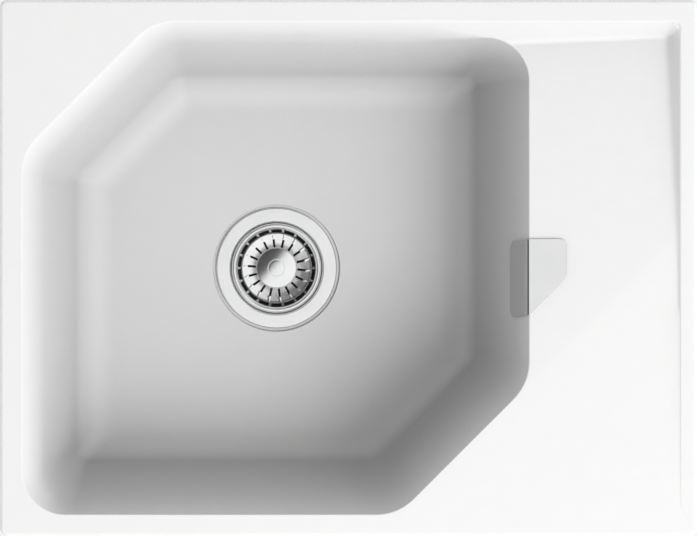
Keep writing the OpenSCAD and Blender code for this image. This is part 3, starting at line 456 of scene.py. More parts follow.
def cast_sink():
    """Casting as two lofted sheets, inside and outside of the bowl, each spread out to the rim's side."""
    out_dir = outline(-1.0) - outline(0.0)
    out_dir /= np.linalg.norm(out_dir, axis=1, keepdims=True)
    fillet_a = np.linspace(WALL_A, np.pi / 2, 14)
    parts = []

    # inside
    foot = flat_ring(outline(WALL_RUN), WALL_Z)
    lip = flat_ring(outline(by_side(BEVEL, wall_in(BEVEL))), RIM_T - BEVEL)
    mouth = outline([0, BEVEL, 0, 0, 0, 0], first_r=CORNER_R[0] + TAPER * BEVEL / 2)
    grids, border_in, start = bowl_side(outline(0.0), lip, mouth, out_dir, foot, top_level, TOP_K, LIP_ROUND)
    parts += grids
    rings = between(start, foot, (0.0, 0.2, 0.4, 0.6, 0.8, 0.97))
    rings += [flat_ring(outline(WALL_RUN + FILLET_R * (np.cos(WALL_A) - np.cos(a))),
                        FILLET_Z - FILLET_R * np.sin(a)) for a in fillet_a]
    seat_edge = circle_ring(SEAT_R + 1.0, FLOOR_Z + 0.02)
    rings += between(rings[-1], seat_edge, (0.06, 0.25, 0.45, 0.65, 0.85, 1.0))
    rings += [circle_ring(r, z) for r, z in (
        (SEAT_R + 0.3, FLOOR_Z - 0.15), (SEAT_R, FLOOR_Z - 0.7), (SEAT_R - 0.1, SEAT_Z + 0.5),
        (SEAT_R - 0.6, SEAT_Z), (HOLE_R + 0.6, SEAT_Z), (HOLE_R, SEAT_Z - 0.6))]
    inner = np.stack(rings)
    parts.append((inner, grid_faces(len(inner), COLS, False, True)))

    # outside
    shell_r = FILLET_R + WALL_T
    run = WALL_RUN + FILLET_R * np.cos(WALL_A)
    skirt_drop = 2 * RIM_T + 1.0
    lip_off, edge_off = wall_in(skirt_drop, BEVEL) - WALL_OFF, wall_in(RIM_T) - WALL_OFF
    edge = outline(by_side(-PAN_OUT, edge_off), WALL_T)
    skirt = outline(by_side(lip_off, wall_in(skirt_drop) - WALL_OFF), WALL_T)
    skirt = flat_ring(skirt, RIM_T - skirt_drop)
    mouth = outline([-2.5, lip_off, 0, 0, 0, edge_off], WALL_T)
    low = [flat_ring(outline(run - shell_r * np.cos(a), WALL_T), FILLET_Z - shell_r * np.sin(a))
           for a in fillet_a]
    grids, border_out, start = bowl_side(edge, skirt, mouth, out_dir, low[0], under_level, UNDER_K)
    parts += [(p, f[:, ::-1]) for p, f in grids]
    rings = between(start, low[0], (0.0, 0.2, 0.4, 0.6, 0.8, 0.97)) + low
    boss_top = circle_ring(BOSS_R + 0.5, UNDER_Z + 1.4)
    rings += between(rings[-1], boss_top, (0.3, 0.65, 1.0))
    rings += [circle_ring(r, z) for r, z in (
        (BOSS_R, UNDER_Z + 1.0), (BOSS_R - 0.1, UNDER_Z + 0.4), (BOSS_R - 0.5, UNDER_Z),
        (HOLE_R + 0.6, UNDER_Z), (HOLE_R, UNDER_Z + 0.6), (HOLE_R, SEAT_Z - 0.6))]
    outer = np.stack(rings)
    parts.append((outer, grid_faces(len(outer), COLS, False, True)[:, ::-1]))

    # rim: side, top with the drainer, underside with the pan
    side = np.stack(rim_side())
    parts.append((side, grid_faces(len(side), side.shape[1], False, True)[:, ::-1]))
    lines = drainer_lines(0.0, TOP_K)
    parts.append(spread([side[0], border_in], lines, inner_points(border_in, 5.0), top_level))
    lines = drainer_lines(PAN_OUT, UNDER_K)
    tap = np.array([TAP_X, TAP_Y])
    lines += [(arc(*tap, TAP_R + more, 0, 360 * 47 / 48, 48), True) for more in (0.4, 0.0, -0.15)]

    def under(x, y):
        """The lower face with the blind end of the tap hole."""
        far = np.hypot(x - TAP_X, y - TAP_Y)
        return np.where(far < TAP_R - 0.08, TAP_TOP, under_level(x, y))

    spots = inner_points(border_out, 9.0)
    spots = spots[np.linalg.norm(spots - tap, axis=1) > TAP_R + 4]
    points, tris = spread([side[-1], border_out], lines, spots, under)
    parts.append((points, tris[:, ::-1]))
    return piece("cast_sink", parts, recalc=True)


sink = cast_sink()
over_n = np.array([-np.cos(OVER_A), 0.0, np.sin(OVER_A)])
over_at = np.array([OVER_X, COVER_Y, OVER_Z])


def on_overflow(profile):
    """Closed outline carried round the overflow hole's axis, with heights measured into the bowl."""
    points, faces = lathe(profile, 64, (0.0, 0.0))
    return carried(points.reshape(-1, 3), over_at, over_n, (0.0, 1.0, 0.0)), faces


# Overflow hole with its sunk face, and the pad round it on the outside
hole_line = [(0.01, -30), (OVER_BORE, -30), (OVER_BORE, -2), (20.1, -2), (20.1, 6), (0.01, 6)]
pad_line = softened([(OVER_BORE, -12), (PAD_R, -12), (PAD_R, -5), (OVER_BORE, -5)], 0.6)
cut_away(sink, piece("overflow_cut", [on_overflow(hole_line)], recalc=True))
weigh(sink)
pad = piece("overflow_pad", [on_overflow(pad_line)])

# Clip bosses, with the bowl's room taken out of them
boss_line = softened([(0.02, 1), (7, 1), (7, -34), (3.6, -34), (3.6, -20), (0.02, -20)], 0.5, 3)
bosses = piece("clip_bosses", [lathe(boss_line, 40, at) for at in CLIPS], recalc=True)
levels = [(4.0, by_side(6.0, wall_in(6.0))), (RIM_T - BEVEL, by_side(BEVEL, wall_in(BEVEL))),
          (-45.0, by_side(wall_in(55.0, BEVEL), wall_in(55.0)))]
room = np.stack([flat_ring(outline(offs - 1.5), z) for z, offs in levels])
cut_away(bosses, piece("bowl_room", [(room, grid_faces(3, COLS, False, True)), (room[0], [np.arange(COLS)]),
                                     (room[2], [np.arange(COLS)])], recalc=True))

# ---- strainer waste ----------------

def flange_line(t):
    """Section of the pressed flange and cup, of thickness t: along the top inwards, and back underneath."""
    cup = (CUP_R - CUP_ROUND, CUP_Z + CUP_ROUND)
    wall = DIMPLE_R + 1.7
    return np.concatenate([
        [[FLANGE_R, FLANGE_Z - t], [FLANGE_R, FLANGE_Z - t / 2], [FLANGE_R - t / 2, FLANGE_Z],
         [THROAT_R + 2, FLANGE_Z], [THROAT_R + 1, FLANGE_Z - 1], [THROAT_R, LEDGE_Z], [CUP_R, LEDGE_Z]],
        arc(*cup, CUP_ROUND, 0, -90, 7),
        [[wall, CUP_Z], [DIMPLE_R, DIMPLE_Z], [SCREW_R, DIMPLE_Z], [SCREW_R, DIMPLE_Z - t],
         [DIMPLE_R + t, DIMPLE_Z - t], [wall + t, CUP_Z - t]],
        arc(*cup, CUP_ROUND + t, -90, 0, 7),
        [[CUP_R + t, LEDGE_Z - t], [THROAT_R + t, LEDGE_Z - t], [THROAT_R + 2, FLANGE_Z - 2 * t],
         [THROAT_R + 2, FLANGE_Z - t]]])


flange = piece("pressed_flange", [lathe(softened(flange_line(FLANGE_T), 0.45), 144)], sharp=60)
cup_hole = [(0.01, CUP_Z - 6), (CUP_HOLE_R, CUP_Z - 6), (CUP_HOLE_R, CUP_Z + 6), (0.01, CUP_Z + 6)]
holes = [lathe(cup_hole, 28, (BOWL_X + CUP_HOLE_AT * np.cos(a), CUP_HOLE_AT * np.sin(a)))
         for a in np.radians(np.arange(0, 360, 30))]
cut_away(flange, piece("holes_cut", holes, recalc=True), 50)
weigh(flange)


def sheet_metal(obj, thickness, edge, segments):
    """Gives a sheet its thickness below its own face, and rounds its cut edges."""
    thick = obj.modifiers.new("sheet", "SOLIDIFY")
    thick.thickness, thick.offset = thickness * MM, -1.0
    rounded = obj.modifiers.new("edges", "BEVEL")
    rounded.width, rounded.segments, rounded.limit_method = edge * MM, segments, "ANGLE"
    rounded.angle_limit = np.radians(50)
    weigh(obj)


def basket_sheet():
    """Pressed basket as one sheet of points (way down the profile, angle).

    The profile runs from under the rolled rim down the wall, over a curve to the cone and the flat round the
    knob. In each sector the knots are the angles of grid lines: the rib between two windows, three lines, the
    slot's start, middle and end, and the next rib. Cells in windows and slots are left out, and a crease from
    each slot to the wall is pressed up.
    """
    top, low = np.array([BASKET_TOP_R, BEAD_Z]), np.array([BASKET_LOW_R, WALL_LOW_Z])
    flat = np.array([BASKET_FLAT_R, BASKET_Z])
    wall = [top + (low - top) * s for s in (0.0, 0.05, 0.12, 0.16, 0.3, 0.45, 0.6, 0.75, 0.86, 0.9)]
    curve = list(bend(low + (top - low) * 0.08, low, low + (flat - low) * 0.14, 5))
    cone = [low + (flat - low) * s for s in (0.2, 0.3, 0.4, 0.47, 0.49, 0.56, 0.66, 0.78, 0.9, 0.96)]
    inner = [flat] + [np.array([r, BASKET_Z]) for r in (19.0, 14.0, 8.0, STEM_R)]
    line = np.array(wall + curve + cone + inner)
    r, z = line[:, 0], line[:, 1]
    step = 2 * np.pi / SECTORS
    rib = np.where(r > WINDOW_FOOT_R, RIB_HALF / r, np.radians(0.8))
    slot = np.where(r > SLOT_END_R + 1.2, np.radians(0.45), SLOT_HALF / np.maximum(r, 18.0))
    at = np.radians(16.0 + 1.2 * np.clip((r - SLOT_END_R) / 6.0, 0.0, 1.0))
    knots = np.stack([0 * r, rib] + [rib + (at - slot - rib) * share for share in (0.25, 0.5, 0.75)]
                     + [at - slot, at, at + slot, step - rib], 1)
    sector = knots.shape[1]
    turns = (np.arange(SECTORS) * step)[None, :, None] + knots[:, None, :]
    turns = turns.reshape(len(line), -1)
    lift = np.zeros_like(turns)
    lift[:, 6::sector] = (CREASE * np.clip(r - 27.0, 0, 1) * np.clip(34.2 - r, 0, 1))[:, None]
    x, y = BOWL_X + r[:, None] * np.cos(turns), r[:, None] * np.sin(turns)
    rows, cols = turns.shape
    faces = grid_faces(rows, cols, False, True)
    row, col = faces[:, 0] // cols, (faces[:, 0] % cols) % sector
    mid = (r[row] + r[np.minimum(row + 1, rows - 1)]) / 2
    window = (row >= 3) & (row < 11) & (col >= 1) & (col < sector - 1)
    slots = (mid > BASKET_FLAT_R) & (mid < SLOT_END_R) & ((col == 5) | (col == 6))
    return np.stack([x, y, z[:, None] + lift], -1), faces[~(window | slots)][:, ::-1]


basket = piece("pressed_basket", [basket_sheet()], sharp=50)
sheet_metal(basket, BASKET_T, 0.2, 2)
bead_corners = ((-1, -1), (1, -1), (1, 1), (-1, 1))
bead_line = softened([(BEAD_MID + x * BEAD_R, BEAD_Z + z * BEAD_R) for x, z in bead_corners], 1.1, 5)
bead = piece("basket_rim", [lathe(bead_line, 144)])
weigh(bead)


def dome(r):
    """Height of the knob's crown, a ball of radius CROWN_R."""
    return KNOB_TOP - CROWN_R + np.sqrt(CROWN_R ** 2 - r * r)


def knob_line():
    """Section of the knob: the crown with its fine groove, the rounded edge, and the neck to the basket."""
    r = np.concatenate([[18.0, 16.0, 13.5, 11.0, 9.0], RING_R + np.array([0.25, 0.12, 0.0, -0.12, -0.25]),
                        [5.0, 2.5, 0.02]])
    crown = np.stack([r, dome(r) - np.where(np.abs(r - RING_R) < 0.13, RING_DEEP, 0.0)], -1)
    edge = bend(np.array([KNOB_R - 0.9, dome(KNOB_R - 0.9)]), np.array([KNOB_R, dome(KNOB_R - 0.2)]),
                np.array([KNOB_R, KNOB_TOP - 3.0]), 6)
    neck = softened([(KNOB_R, KNOB_TOP - 3.6), (8.6, KNOB_TOP - 5), (NECK_R, KNOB_TOP - 8),
                     (NECK_R, BASKET_Z + 4), (KNOB_FOOT_R, BASKET_Z + 1), (KNOB_FOOT_R, BASKET_Z),
                     (0.02, BASKET_Z)], [0.5, 1, 1.5, 2, 0.5, 0.3, 0], 5)
    return np.concatenate([crown[::-1], edge, neck])


knob = piece("turned_knob", [lathe(knob_line(), 144)], recalc=True, sharp=60)
weigh(knob)

# ---- overflow ----------------

def drainer_frame(points):
    """Points from the frame on the drainer's floor at the bowl's edge: turned about Y, then about X."""
    p = np.asarray(points, float)
    b, a = -PLATE_TILT, -np.arctan(LAND_FALL + DRAINER_FALL)
    x = p[..., 0] * np.cos(b) + p[..., 2] * np.sin(b)
    z = -p[..., 0] * np.sin(b) + p[..., 2] * np.cos(b)
    y, z = p[..., 1] * np.cos(a) - z * np.sin(a), p[..., 1] * np.sin(a) + z * np.cos(a)
    return np.stack([x + EDGE_X, y + COVER_Y, z + OVER_TOP], -1)


def bent_cover():
    """Bent sheet: rows follow the section (plate, bend, leg), and across them the sheet runs from its front
    edge to its back edge, whose places give the rounded and cut corners."""
    lap = np.concatenate([COVER_L - COVER_CORNER + COVER_CORNER * np.cos(np.radians(np.linspace(0, 90, 12))),
                          np.linspace(COVER_L - 8.0, 1.0, 14)])
    plate = np.stack([lap, np.full_like(lap, SEAT_GAP + COVER_T)], -1)
    turn = arc(BEND_X, SEAT_GAP - BEND_IN, BEND_IN + COVER_T, 90, 180 - np.degrees(LEG_A), 9)
    cut_at = LEG_L - LEG_CUT
    s = np.concatenate([np.linspace(0.0, cut_at, 12)[1:], np.linspace(cut_at, LEG_L, 5)[1:]])
    leg = turn[-1] - s[:, None] * np.array([np.sin(LEG_A), np.cos(LEG_A)])
    line = np.concatenate([plate, turn, leg])
    down = np.concatenate([np.zeros(len(plate) + len(turn)), s])
    x = line[:, 0]
    corner = np.clip(x - (COVER_L - COVER_CORNER), 0, COVER_CORNER)
    back = COVER_H - COVER_CORNER + np.sqrt(np.maximum(COVER_CORNER ** 2 - corner ** 2, 0.0))
    slope_y = np.maximum(x, 0.0) - COVER_H
    turn_x = COVER_L - COVER_TURN * (1 - np.cos(np.radians(45.0)))
    around = COVER_L - COVER_H + COVER_TURN * (np.sqrt(2.0) - 1)
    corner = np.clip(x - COVER_L + COVER_TURN, 0, COVER_TURN)
    bent = around - np.sqrt(np.maximum(COVER_TURN ** 2 - corner ** 2, 0.0))
    front = np.where(x > turn_x, bent, slope_y)
    cut = np.clip(down - cut_at, 0, LEG_CUT)
    back, front = back - cut, front + cut
    share = np.linspace(0.0, 1.0, 25)
    y = front[:, None] * (1 - share) + back[:, None] * share
    grid = np.stack([np.broadcast_to(line[:, 0:1], y.shape), y, np.broadcast_to(line[:, 1:2], y.shape)], -1)
    return drainer_frame(grid), grid_faces(len(line), len(share), False, False)


cover = piece("bent_cover", [bent_cover()], sharp=60)
sheet_metal(cover, COVER_T, 0.45, 3)


def ribbed_hose():
    """Tube along a path that runs straight down, round a quarter circle and straight in. Its outer radius
    falls by RIB_H in a rounded valley once a rib, and the bore runs back inside, so the tube is closed."""
    ribbed = np.linspace(CUFF, HOSE_L - CUFF, RIBS * 8 + 1)
    s = np.concatenate([[0.0, 0.3, 1.0, CUFF * 0.5, CUFF - 0.8], ribbed,
                        [HOSE_L - CUFF + 0.8, HOSE_L - CUFF * 0.5, HOSE_L - 1.0, HOSE_L - 0.3, HOSE_L]])
    wave = 0.5 + 0.5 * np.cos(2 * np.pi * (ribbed - CUFF) * RIBS / (HOSE_L - 2 * CUFF))
    r = np.concatenate([[HOSE_R - 0.6, HOSE_R - 0.1] + [HOSE_R] * 3, HOSE_R - RIB_H * wave ** 1.4,
                        [HOSE_R] * 3 + [HOSE_R - 0.1, HOSE_R - 0.6]])
    back = np.linspace(HOSE_L, 0.0, 50)
    s, r = np.concatenate([s, back]), np.concatenate([r, np.full(50, HOSE_BORE)])
    a = np.clip((s - HOSE_DROP) / BEND_R, 0.0, np.pi / 2)
    past = np.maximum(s - HOSE_DROP - BEND_R * np.pi / 2, 0.0)
    x = HOSE_REACH - BEND_R + BEND_R * np.cos(a) - past
    z = np.where(s < HOSE_DROP, HOSE_TOP - s, INLET_Z + BEND_R - BEND_R * np.sin(a))
    turn = np.linspace(0, 2 * np.pi, 32, endpoint=False)
    across = r[:, None] * np.cos(turn)
    px, py = x[:, None] + across * np.cos(a)[:, None], r[:, None] * np.sin(turn)
    pz = z[:, None] - across * np.sin(a)[:, None]
    c, w = np.cos(HOSE_AZ), np.sin(HOSE_AZ)
    points = np.stack([BOWL_X + c * px - w * py, w * px + c * py, pz], -1)
    return points, grid_faces(len(s), 32, True, True)[:, ::-1]


hose = piece("ribbed_hose", [ribbed_hose()], recalc=True, sharp=70)

# ---- waste body under the sink ----------------

body_line = softened([
    (BODY_BORE, BODY_Z), (BODY_FLANGE_R, BODY_Z), (BODY_FLANGE_R, BODY_Z - 4), (BODY_R, BODY_Z - 4),
    (BODY_R, CONE_Z), (SHOULDER_R, CONE_Z - CONE_H), (SHOULDER_R, THREAD_Z), (CORE_R, THREAD_Z),
    (CORE_R, LOW_Z), (OUTLET_BORE, LOW_Z), (OUTLET_BORE, CONE_Z - CONE_H), (BODY_BORE, CONE_Z)],
    [0.5, 0.8, 0.8, 1.5, 4, 3, 0.5, 0.1, 0.5, 0.5, 3, 4], 5)


def outlet_thread():
    """Thread: the radius falls from THREAD_R by a rounded groove whose height turns with the angle."""
    z = np.linspace(THREAD_Z - 0.01, LOW_Z, 90)[:, None]
    turn = np.linspace(0, 2 * np.pi, 96, endpoint=False)
    wave = 0.5 + 0.5 * np.cos(2 * np.pi * z / PITCH + turn)
    fade = np.clip(np.minimum(THREAD_Z - z, z - LOW_Z) / 1.2, 0, 1)
    r = THREAD_R - THREAD_H * wave ** 1.5 * fade - 0.6 * (1 - fade)
    rings = np.stack([BOWL_X + r * np.cos(turn), r * np.sin(turn), z + 0 * turn], -1)
    caps = [circle_ring(OUTLET_BORE + 1, level, turn) for level in (LOW_Z, THREAD_Z - 0.01)]
    return np.concatenate([rings, caps]), grid_faces(92, 96, True, True)[:, ::-1]


low_dir = np.array([np.cos(HOSE_AZ), np.sin(HOSE_AZ), 0.0])
low_mouth = np.array([BOWL_X, 0.0, INLET_Z]) + low_dir * (HOSE_END + SOCKET_L)
spout_line = softened([(HOSE_BORE, -SPOUT_L), (SPOUT_R, -SPOUT_L), (SPOUT_R, 0), (SOCKET_R, 0),
                       (SOCKET_R, -SOCKET_L), (HOSE_BORE, -SOCKET_L)], 0.5)
points, faces = lathe(spout_line, 64, (0.0, 0.0))
spout = (carried(points.reshape(-1, 3), low_mouth, low_dir, (0, 0, 1)), faces)
body = piece("moulded_waste", [lathe(body_line, 96), outlet_thread(), spout], sharp=50)
weigh(body)

# ---- materials ----------------

def add(tree, kind, settings=None, **inputs):
    """A node with its settings, and its inputs set to values or joined to sockets."""
    node = tree.nodes.new(kind)
    for key, value in (settings or {}).items():
        setattr(node, key, value)
    for key, value in inputs.items():
        numbered = key[0] == "i" and key[1:].isdigit()
        socket = node.inputs[int(key[1:]) if numbered else key]
        if isinstance(value, bpy.types.NodeSocket):
            tree.links.new(value, socket)
        else:
            socket.default_value = value
    return node


def new_group(name, inputs, outputs):
    """Empty node group with number inputs, given with their values, and named outputs."""
    tree = bpy.data.node_groups.new(name, "ShaderNodeTree")
    for label, value in inputs.items():
        tree.interface.new_socket(label, in_out="INPUT", socket_type="NodeSocketFloat").default_value = value
    for label in outputs:
        tree.interface.new_socket(label, in_out="OUTPUT", socket_type="NodeSocketFloat")
    return tree, tree.nodes.new("NodeGroupInput").outputs, tree.nodes.new("NodeGroupOutput").inputs


def calc(tree, operation, a, b=0.0, c=0.0):
    """Result of one step of arithmetic."""
    return add(tree, "ShaderNodeMath", {"operation": operation}, i0=a, i1=b, i2=c).outputs[0]


def noise(tree, vector, scale, detail=2.0):
    """Noise from 0 to 1."""
    return add(tree, "ShaderNodeTexNoise", None, Vector=vector, Scale=scale, Detail=detail).outputs[0]


def mapped(tree, value, start, end, low=0.0, high=1.0, kind="LINEAR"):
    """Value carried from the range start to end onto low to high, and held beyond it."""
    return add(tree, "ShaderNodeMapRange", {"interpolation_type": kind}, i0=value, i1=start, i2=end, i3=low,
               i4=high).outputs[0]


def mixed(tree, kind, share, a, b):
    """The mix of a and b, numbers, vectors or colours as kind says, by the share of b."""
    first, result = {"FLOAT": (2, 0), "VECTOR": (4, 1), "RGBA": (6, 2)}[kind]
    sockets = {"i0": share, f"i{first}": a, f"i{first + 1}": b}
    return add(tree, "ShaderNodeMix", {"data_type": kind}, **sockets).outputs[result]


def xyz_of(tree, vector):
    """The three parts of a vector."""
    return add(tree, "ShaderNodeSeparateXYZ", None, i0=vector).outputs


def vector_of(tree, x, y, z):
    """A vector from its three parts."""
    return add(tree, "ShaderNodeCombineXYZ", None, X=x, Y=y, Z=z).outputs[0]


def cast_grain():
    """Fine grain of a filled casting: a coarse noise for cloudiness and a fine one for grit."""
    tree, given, out = new_group("cast_grain", {"Coarse": 90.0, "Fine": 1400.0}, ["Cloud", "Grit", "Height"])
    place = add(tree, "ShaderNodeTexCoord").outputs["Object"]
    cloud = noise(tree, place, given["Coarse"], 3.0)
    grit = noise(tree, place, given["Fine"], 1.0)
    tree.links.new(cloud, out["Cloud"])
    tree.links.new(grit, out["Grit"])
    tree.links.new(calc(tree, "MULTIPLY_ADD", cloud, 0.5, grit), out["Height"])
    return tree


def tool_marks():
    """Marks of brushing or turning: noise stretched along X, or round the waste's axis where Turned is 1."""
    tree, given, out = new_group("tool_marks", {"Turned": 0.0, "Across": 900.0, "Along": 14.0},
                                 ["Mark", "Cloud"])
    across, along_x = given["Across"], given["Along"]
    place = add(tree, "ShaderNodeTexCoord").outputs["Object"]
    x, y, z = xyz_of(tree, place)
    off = calc(tree, "SUBTRACT", x, BOWL_X * MM)
    radius = calc(tree, "SQRT", calc(tree, "MULTIPLY_ADD", off, off, calc(tree, "MULTIPLY", y, y)))
    turned = vector_of(tree, calc(tree, "MULTIPLY", radius, across),
                       calc(tree, "MULTIPLY", calc(tree, "ARCTAN2", y, off), 0.6),
                       calc(tree, "MULTIPLY", z, across))
    brushed = vector_of(tree, *[calc(tree, "MULTIPLY", part, by)
                                for part, by in ((x, along_x), (y, across), (z, along_x))])
    vector = mixed(tree, "VECTOR", given["Turned"], brushed, turned)
    tree.links.new(noise(tree, vector, 1.0), out["Mark"])
    tree.links.new(noise(tree, place, 35.0), out["Cloud"])
    return tree


GRAIN, MARKS, MARK_DEPTH = cast_grain(), tool_marks(), 0.00001


def ranged(tree, value, low, high):
    """A 0 to 1 value spread between low and high."""
    return calc(tree, "MULTIPLY_ADD", value, high - low, low)


def tinted(tree, value, dark, light):
    """Colour between dark and light by a 0 to 1 value."""
    ramp = add(tree, "ShaderNodeValToRGB", None, Fac=value)
    ramp.color_ramp.elements[0].position, ramp.color_ramp.elements[1].position = 0.3, 0.7
    ramp.color_ramp.elements[0].color, ramp.color_ramp.elements[1].color = (*dark, 1.0), (*light, 1.0)
    return ramp.outputs["Color"]


def material(name, build):
    """Principled material whose inputs build sets and joins."""
    mat = bpy.data.materials.new(name)
    mat.use_nodes = True
    tree = mat.node_tree
    build(tree, tree.nodes["Principled BSDF"].inputs)
    return mat


def use(tree, group, **inputs):
    """A node group in a material, with its inputs set."""
    return add(tree, "ShaderNodeGroup", {"node_tree": group}, **inputs).outputs


def dress(tree, inputs, colour, roughness, height, relief):
    """Joins colour, roughness and a relief, in metres, to the material."""
    raised = add(tree, "ShaderNodeBump", None, Height=height, Distance=relief, Strength=1.0).outputs[0]
    for value, target in ((colour, "Base Color"), (roughness, "Roughness"), (raised, "Normal")):
        tree.links.new(value, inputs[target])


def moulded(dark, light, rough, coarse, fine, relief=0.00004, bounced=1.0):
    """Builder for cast and moulded stuff: cloudy colour, grit in the roughness and in the surface.

    The colour is darker by bounced in light that the surface passes on to others, so that less light
    bounces into hollows such as the bowl: painted shade.
    """
    def build(tree, inputs):
        grain = use(tree, GRAIN, Coarse=coarse, Fine=fine)
        share = calc(tree, "MULTIPLY_ADD", grain["Cloud"], 0.4, calc(tree, "MULTIPLY", grain["Grit"], 0.6))
        colour = tinted(tree, share, dark, light)
        # Painted shade: a dimmer colour for bounced light darkens the bowl's walls and floor
        if bounced < 1.0:
            passed_on = add(tree, "ShaderNodeLightPath").outputs["Is Diffuse Ray"]
            dim = add(tree, "ShaderNodeVectorMath", {"operation": "SCALE"}, i0=colour, Scale=bounced)
            colour = mixed(tree, "RGBA", passed_on, colour, dim.outputs[0])
        dress(tree, inputs, colour, ranged(tree, grain["Grit"], *rough), grain["Height"], relief)
    return build


def worked(dark, light, rough, turned, across, shaded_below=None, shade_grey=0.12, metal=1.0, edge=None):
    """Builder for worked metal: marks in the roughness, a faint cloudiness in the colour.

    Below a given height, in metres, the metal is of a dull grey: painted shade. With an edge value, a
    sheet is of that darker grey where it rounds over from its level top, a painted shadow line, and of the
    dull shade grey where it is steep, more painted shade.
    """
    def build(tree, inputs):
        inputs["Metallic"].default_value = metal
        marks = use(tree, MARKS, Turned=turned, Across=across)
        colour, polish = tinted(tree, marks["Cloud"], dark, light), ranged(tree, marks["Mark"], *rough)
        if shaded_below is not None:
            # Painted shade: below the given height the colour turns to the dull grey, dark in the waste's cup
            # and mid grey on the cover's leg
            height = xyz_of(tree, add(tree, "ShaderNodeTexCoord").outputs["Object"])[2]
            low = mapped(tree, height, shaded_below, shaded_below - 0.004)
            colour = mixed(tree, "RGBA", low, colour, (shade_grey, shade_grey, shade_grey * 1.03, 1.0))
            polish = calc(tree, "MAXIMUM", polish, calc(tree, "MULTIPLY", low, 0.5))
        # Painted shadow line: where the sheet's face turns from level, the colour goes to the near-black edge
        # grey along its rounded edges and bend, a duller cut edge darkened into a shadow line, and to the
        # shade grey where it is steep
        if edge is not None:
            facing = xyz_of(tree, add(tree, "ShaderNodeTexCoord").outputs["Normal"])[2]
            edge_shade = mixed(tree, "FLOAT", mapped(tree, facing, 0.8, 0.4), edge, shade_grey)
            grey = add(tree, "ShaderNodeCombineColor", None, i0=edge_shade, i1=edge_shade, i2=edge_shade).outputs[0]
            colour = mixed(tree, "RGBA", mapped(tree, facing, 0.99, 0.95), colour, grey)
        dress(tree, inputs, colour, polish, marks["Mark"], MARK_DEPTH)
    return build


composite = material("cast_composite", moulded(
    (0.885, 0.888, 0.885), (0.915, 0.915, 0.91), (0.24, 0.36), 60.0, 1300.0, 0.00002, 0.1))
bright = material("turned_steel", worked((0.84, 0.845, 0.85), (0.9, 0.9, 0.905), (0.14, 0.22), 1.0, 2500.0))
drawn = material("drawn_steel", worked((0.88, 0.885, 0.89), (0.93, 0.93, 0.935), (0.15, 0.22), 1.0, 2500.0))
# The flange's throat and cup, below its ledge, are painted a dark grey: painted shade under the basket
pressed = material("pressed_steel", worked(
    (0.84, 0.845, 0.85), (0.89, 0.89, 0.89), (0.12, 0.2), 1.0, 2500.0, shaded_below=-0.1975))
# The cover's leg, below the plate, is painted a mid grey as painted shade, and its edges a near-black painted
# shadow line
satin = material("brushed_steel", worked(
    (0.91, 0.915, 0.92), (0.95, 0.95, 0.95), (0.16, 0.26), 0.0, 1500.0, shaded_below=0.0015, shade_grey=0.58,
    metal=0.25, edge=0.08))
plated = material("plated_steel", worked((0.60, 0.61, 0.62), (0.72, 0.725, 0.73), (0.25, 0.42), 0.0, 500.0))
rubber = material("rubber", moulded(
    (0.022, 0.022, 0.023), (0.04, 0.04, 0.042), (0.65, 0.85), 200.0, 2500.0, 0.00006))
dark_plastic = material("dark_plastic", moulded(
    (0.045, 0.046, 0.05), (0.065, 0.066, 0.07), (0.38, 0.55), 150.0, 2600.0))
pale_plastic = material("pale_plastic", moulded(
    (0.72, 0.725, 0.72), (0.80, 0.80, 0.795), (0.34, 0.48), 80.0, 2200.0))
brass = material("turned_brass", worked((0.62, 0.44, 0.18), (0.78, 0.58, 0.27), (0.2, 0.35), 0.0, 1800.0))

# Piece, its material, the body it moves with, its slot and the nodes it stands for
MADE = [
    (sink, composite, "sink", "composite", ["sink_body"]),
    (pad, composite, "sink", "composite", []),
    (bosses, composite, "sink", "composite", []),
    (flange, pressed, "sink", "steel_bright", ["waste_flange"]),
    (body, pale_plastic, "sink", "plastic_pale", ["waste_body"]),
    (hose, pale_plastic, "sink", "plastic_pale", ["overflow_hose"]),
    (basket, drawn, "strainer", "steel_bright", ["basket"]),
    (bead, bright, "strainer", "steel_bright", []),
    (knob, bright, "strainer", "steel_bright", ["basket_knob"]),
    (cover, satin, "cover", "steel_satin", ["overflow_cover"]),
]
for obj, mat, moves_with, slot, nodes in MADE:
    obj.data.materials.clear()
    obj.data.materials.append(mat)
    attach(obj, moves_with)
    if nodes:
        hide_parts(*nodes)

# Nodes that keep their CAD solids, by material
KEPT = [
    (dark_plastic, ["overflow_cover_plug", "overflow_bezel", "overflow_elbow", "hose_nut_top",
                    "hose_nut_bottom"]),
    (rubber, ["overflow_gasket", "hose_washers", "flange_ring", "body_gasket", "basket_seal"]),
    (brass, ["body_insert", "clip_inserts"]),
    (bright, ["waste_screw", "basket_stem", "seal_washer", "stem_nut"]),
    (plated, ["clip_screws"] + [f"clip_claw_{k}" for k in range(1, len(CLIPS) + 1)]),
]
for mat, nodes in KEPT:
    for node in nodes:
        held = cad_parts[node].data.materials
        held.clear()
        held.append(mat)

# ---- camera, floor and light ----------------

# Metres, but for the camera's sensor and lens. The lens is long, as the photo shows no perspective
CAMERA_Z, SENSOR, LENS = 16.26, 36.0, 900.0
GROUND_Z, GROUND_HALF = -0.2835, 30.0
KEY_WAY = (0.76, -0.65, 0.0)

scene = bpy.context.scene
camera = bpy.data.objects.new("camera", bpy.data.cameras.new("camera"))
camera.data.sensor_width, camera.data.lens, camera.data.clip_end = SENSOR, LENS, 100.0
camera.location = (0.0, 0.0, CAMERA_Z)
scene.collection.objects.link(camera)
scene.camera = camera
scene.view_settings.view_transform = "Standard"

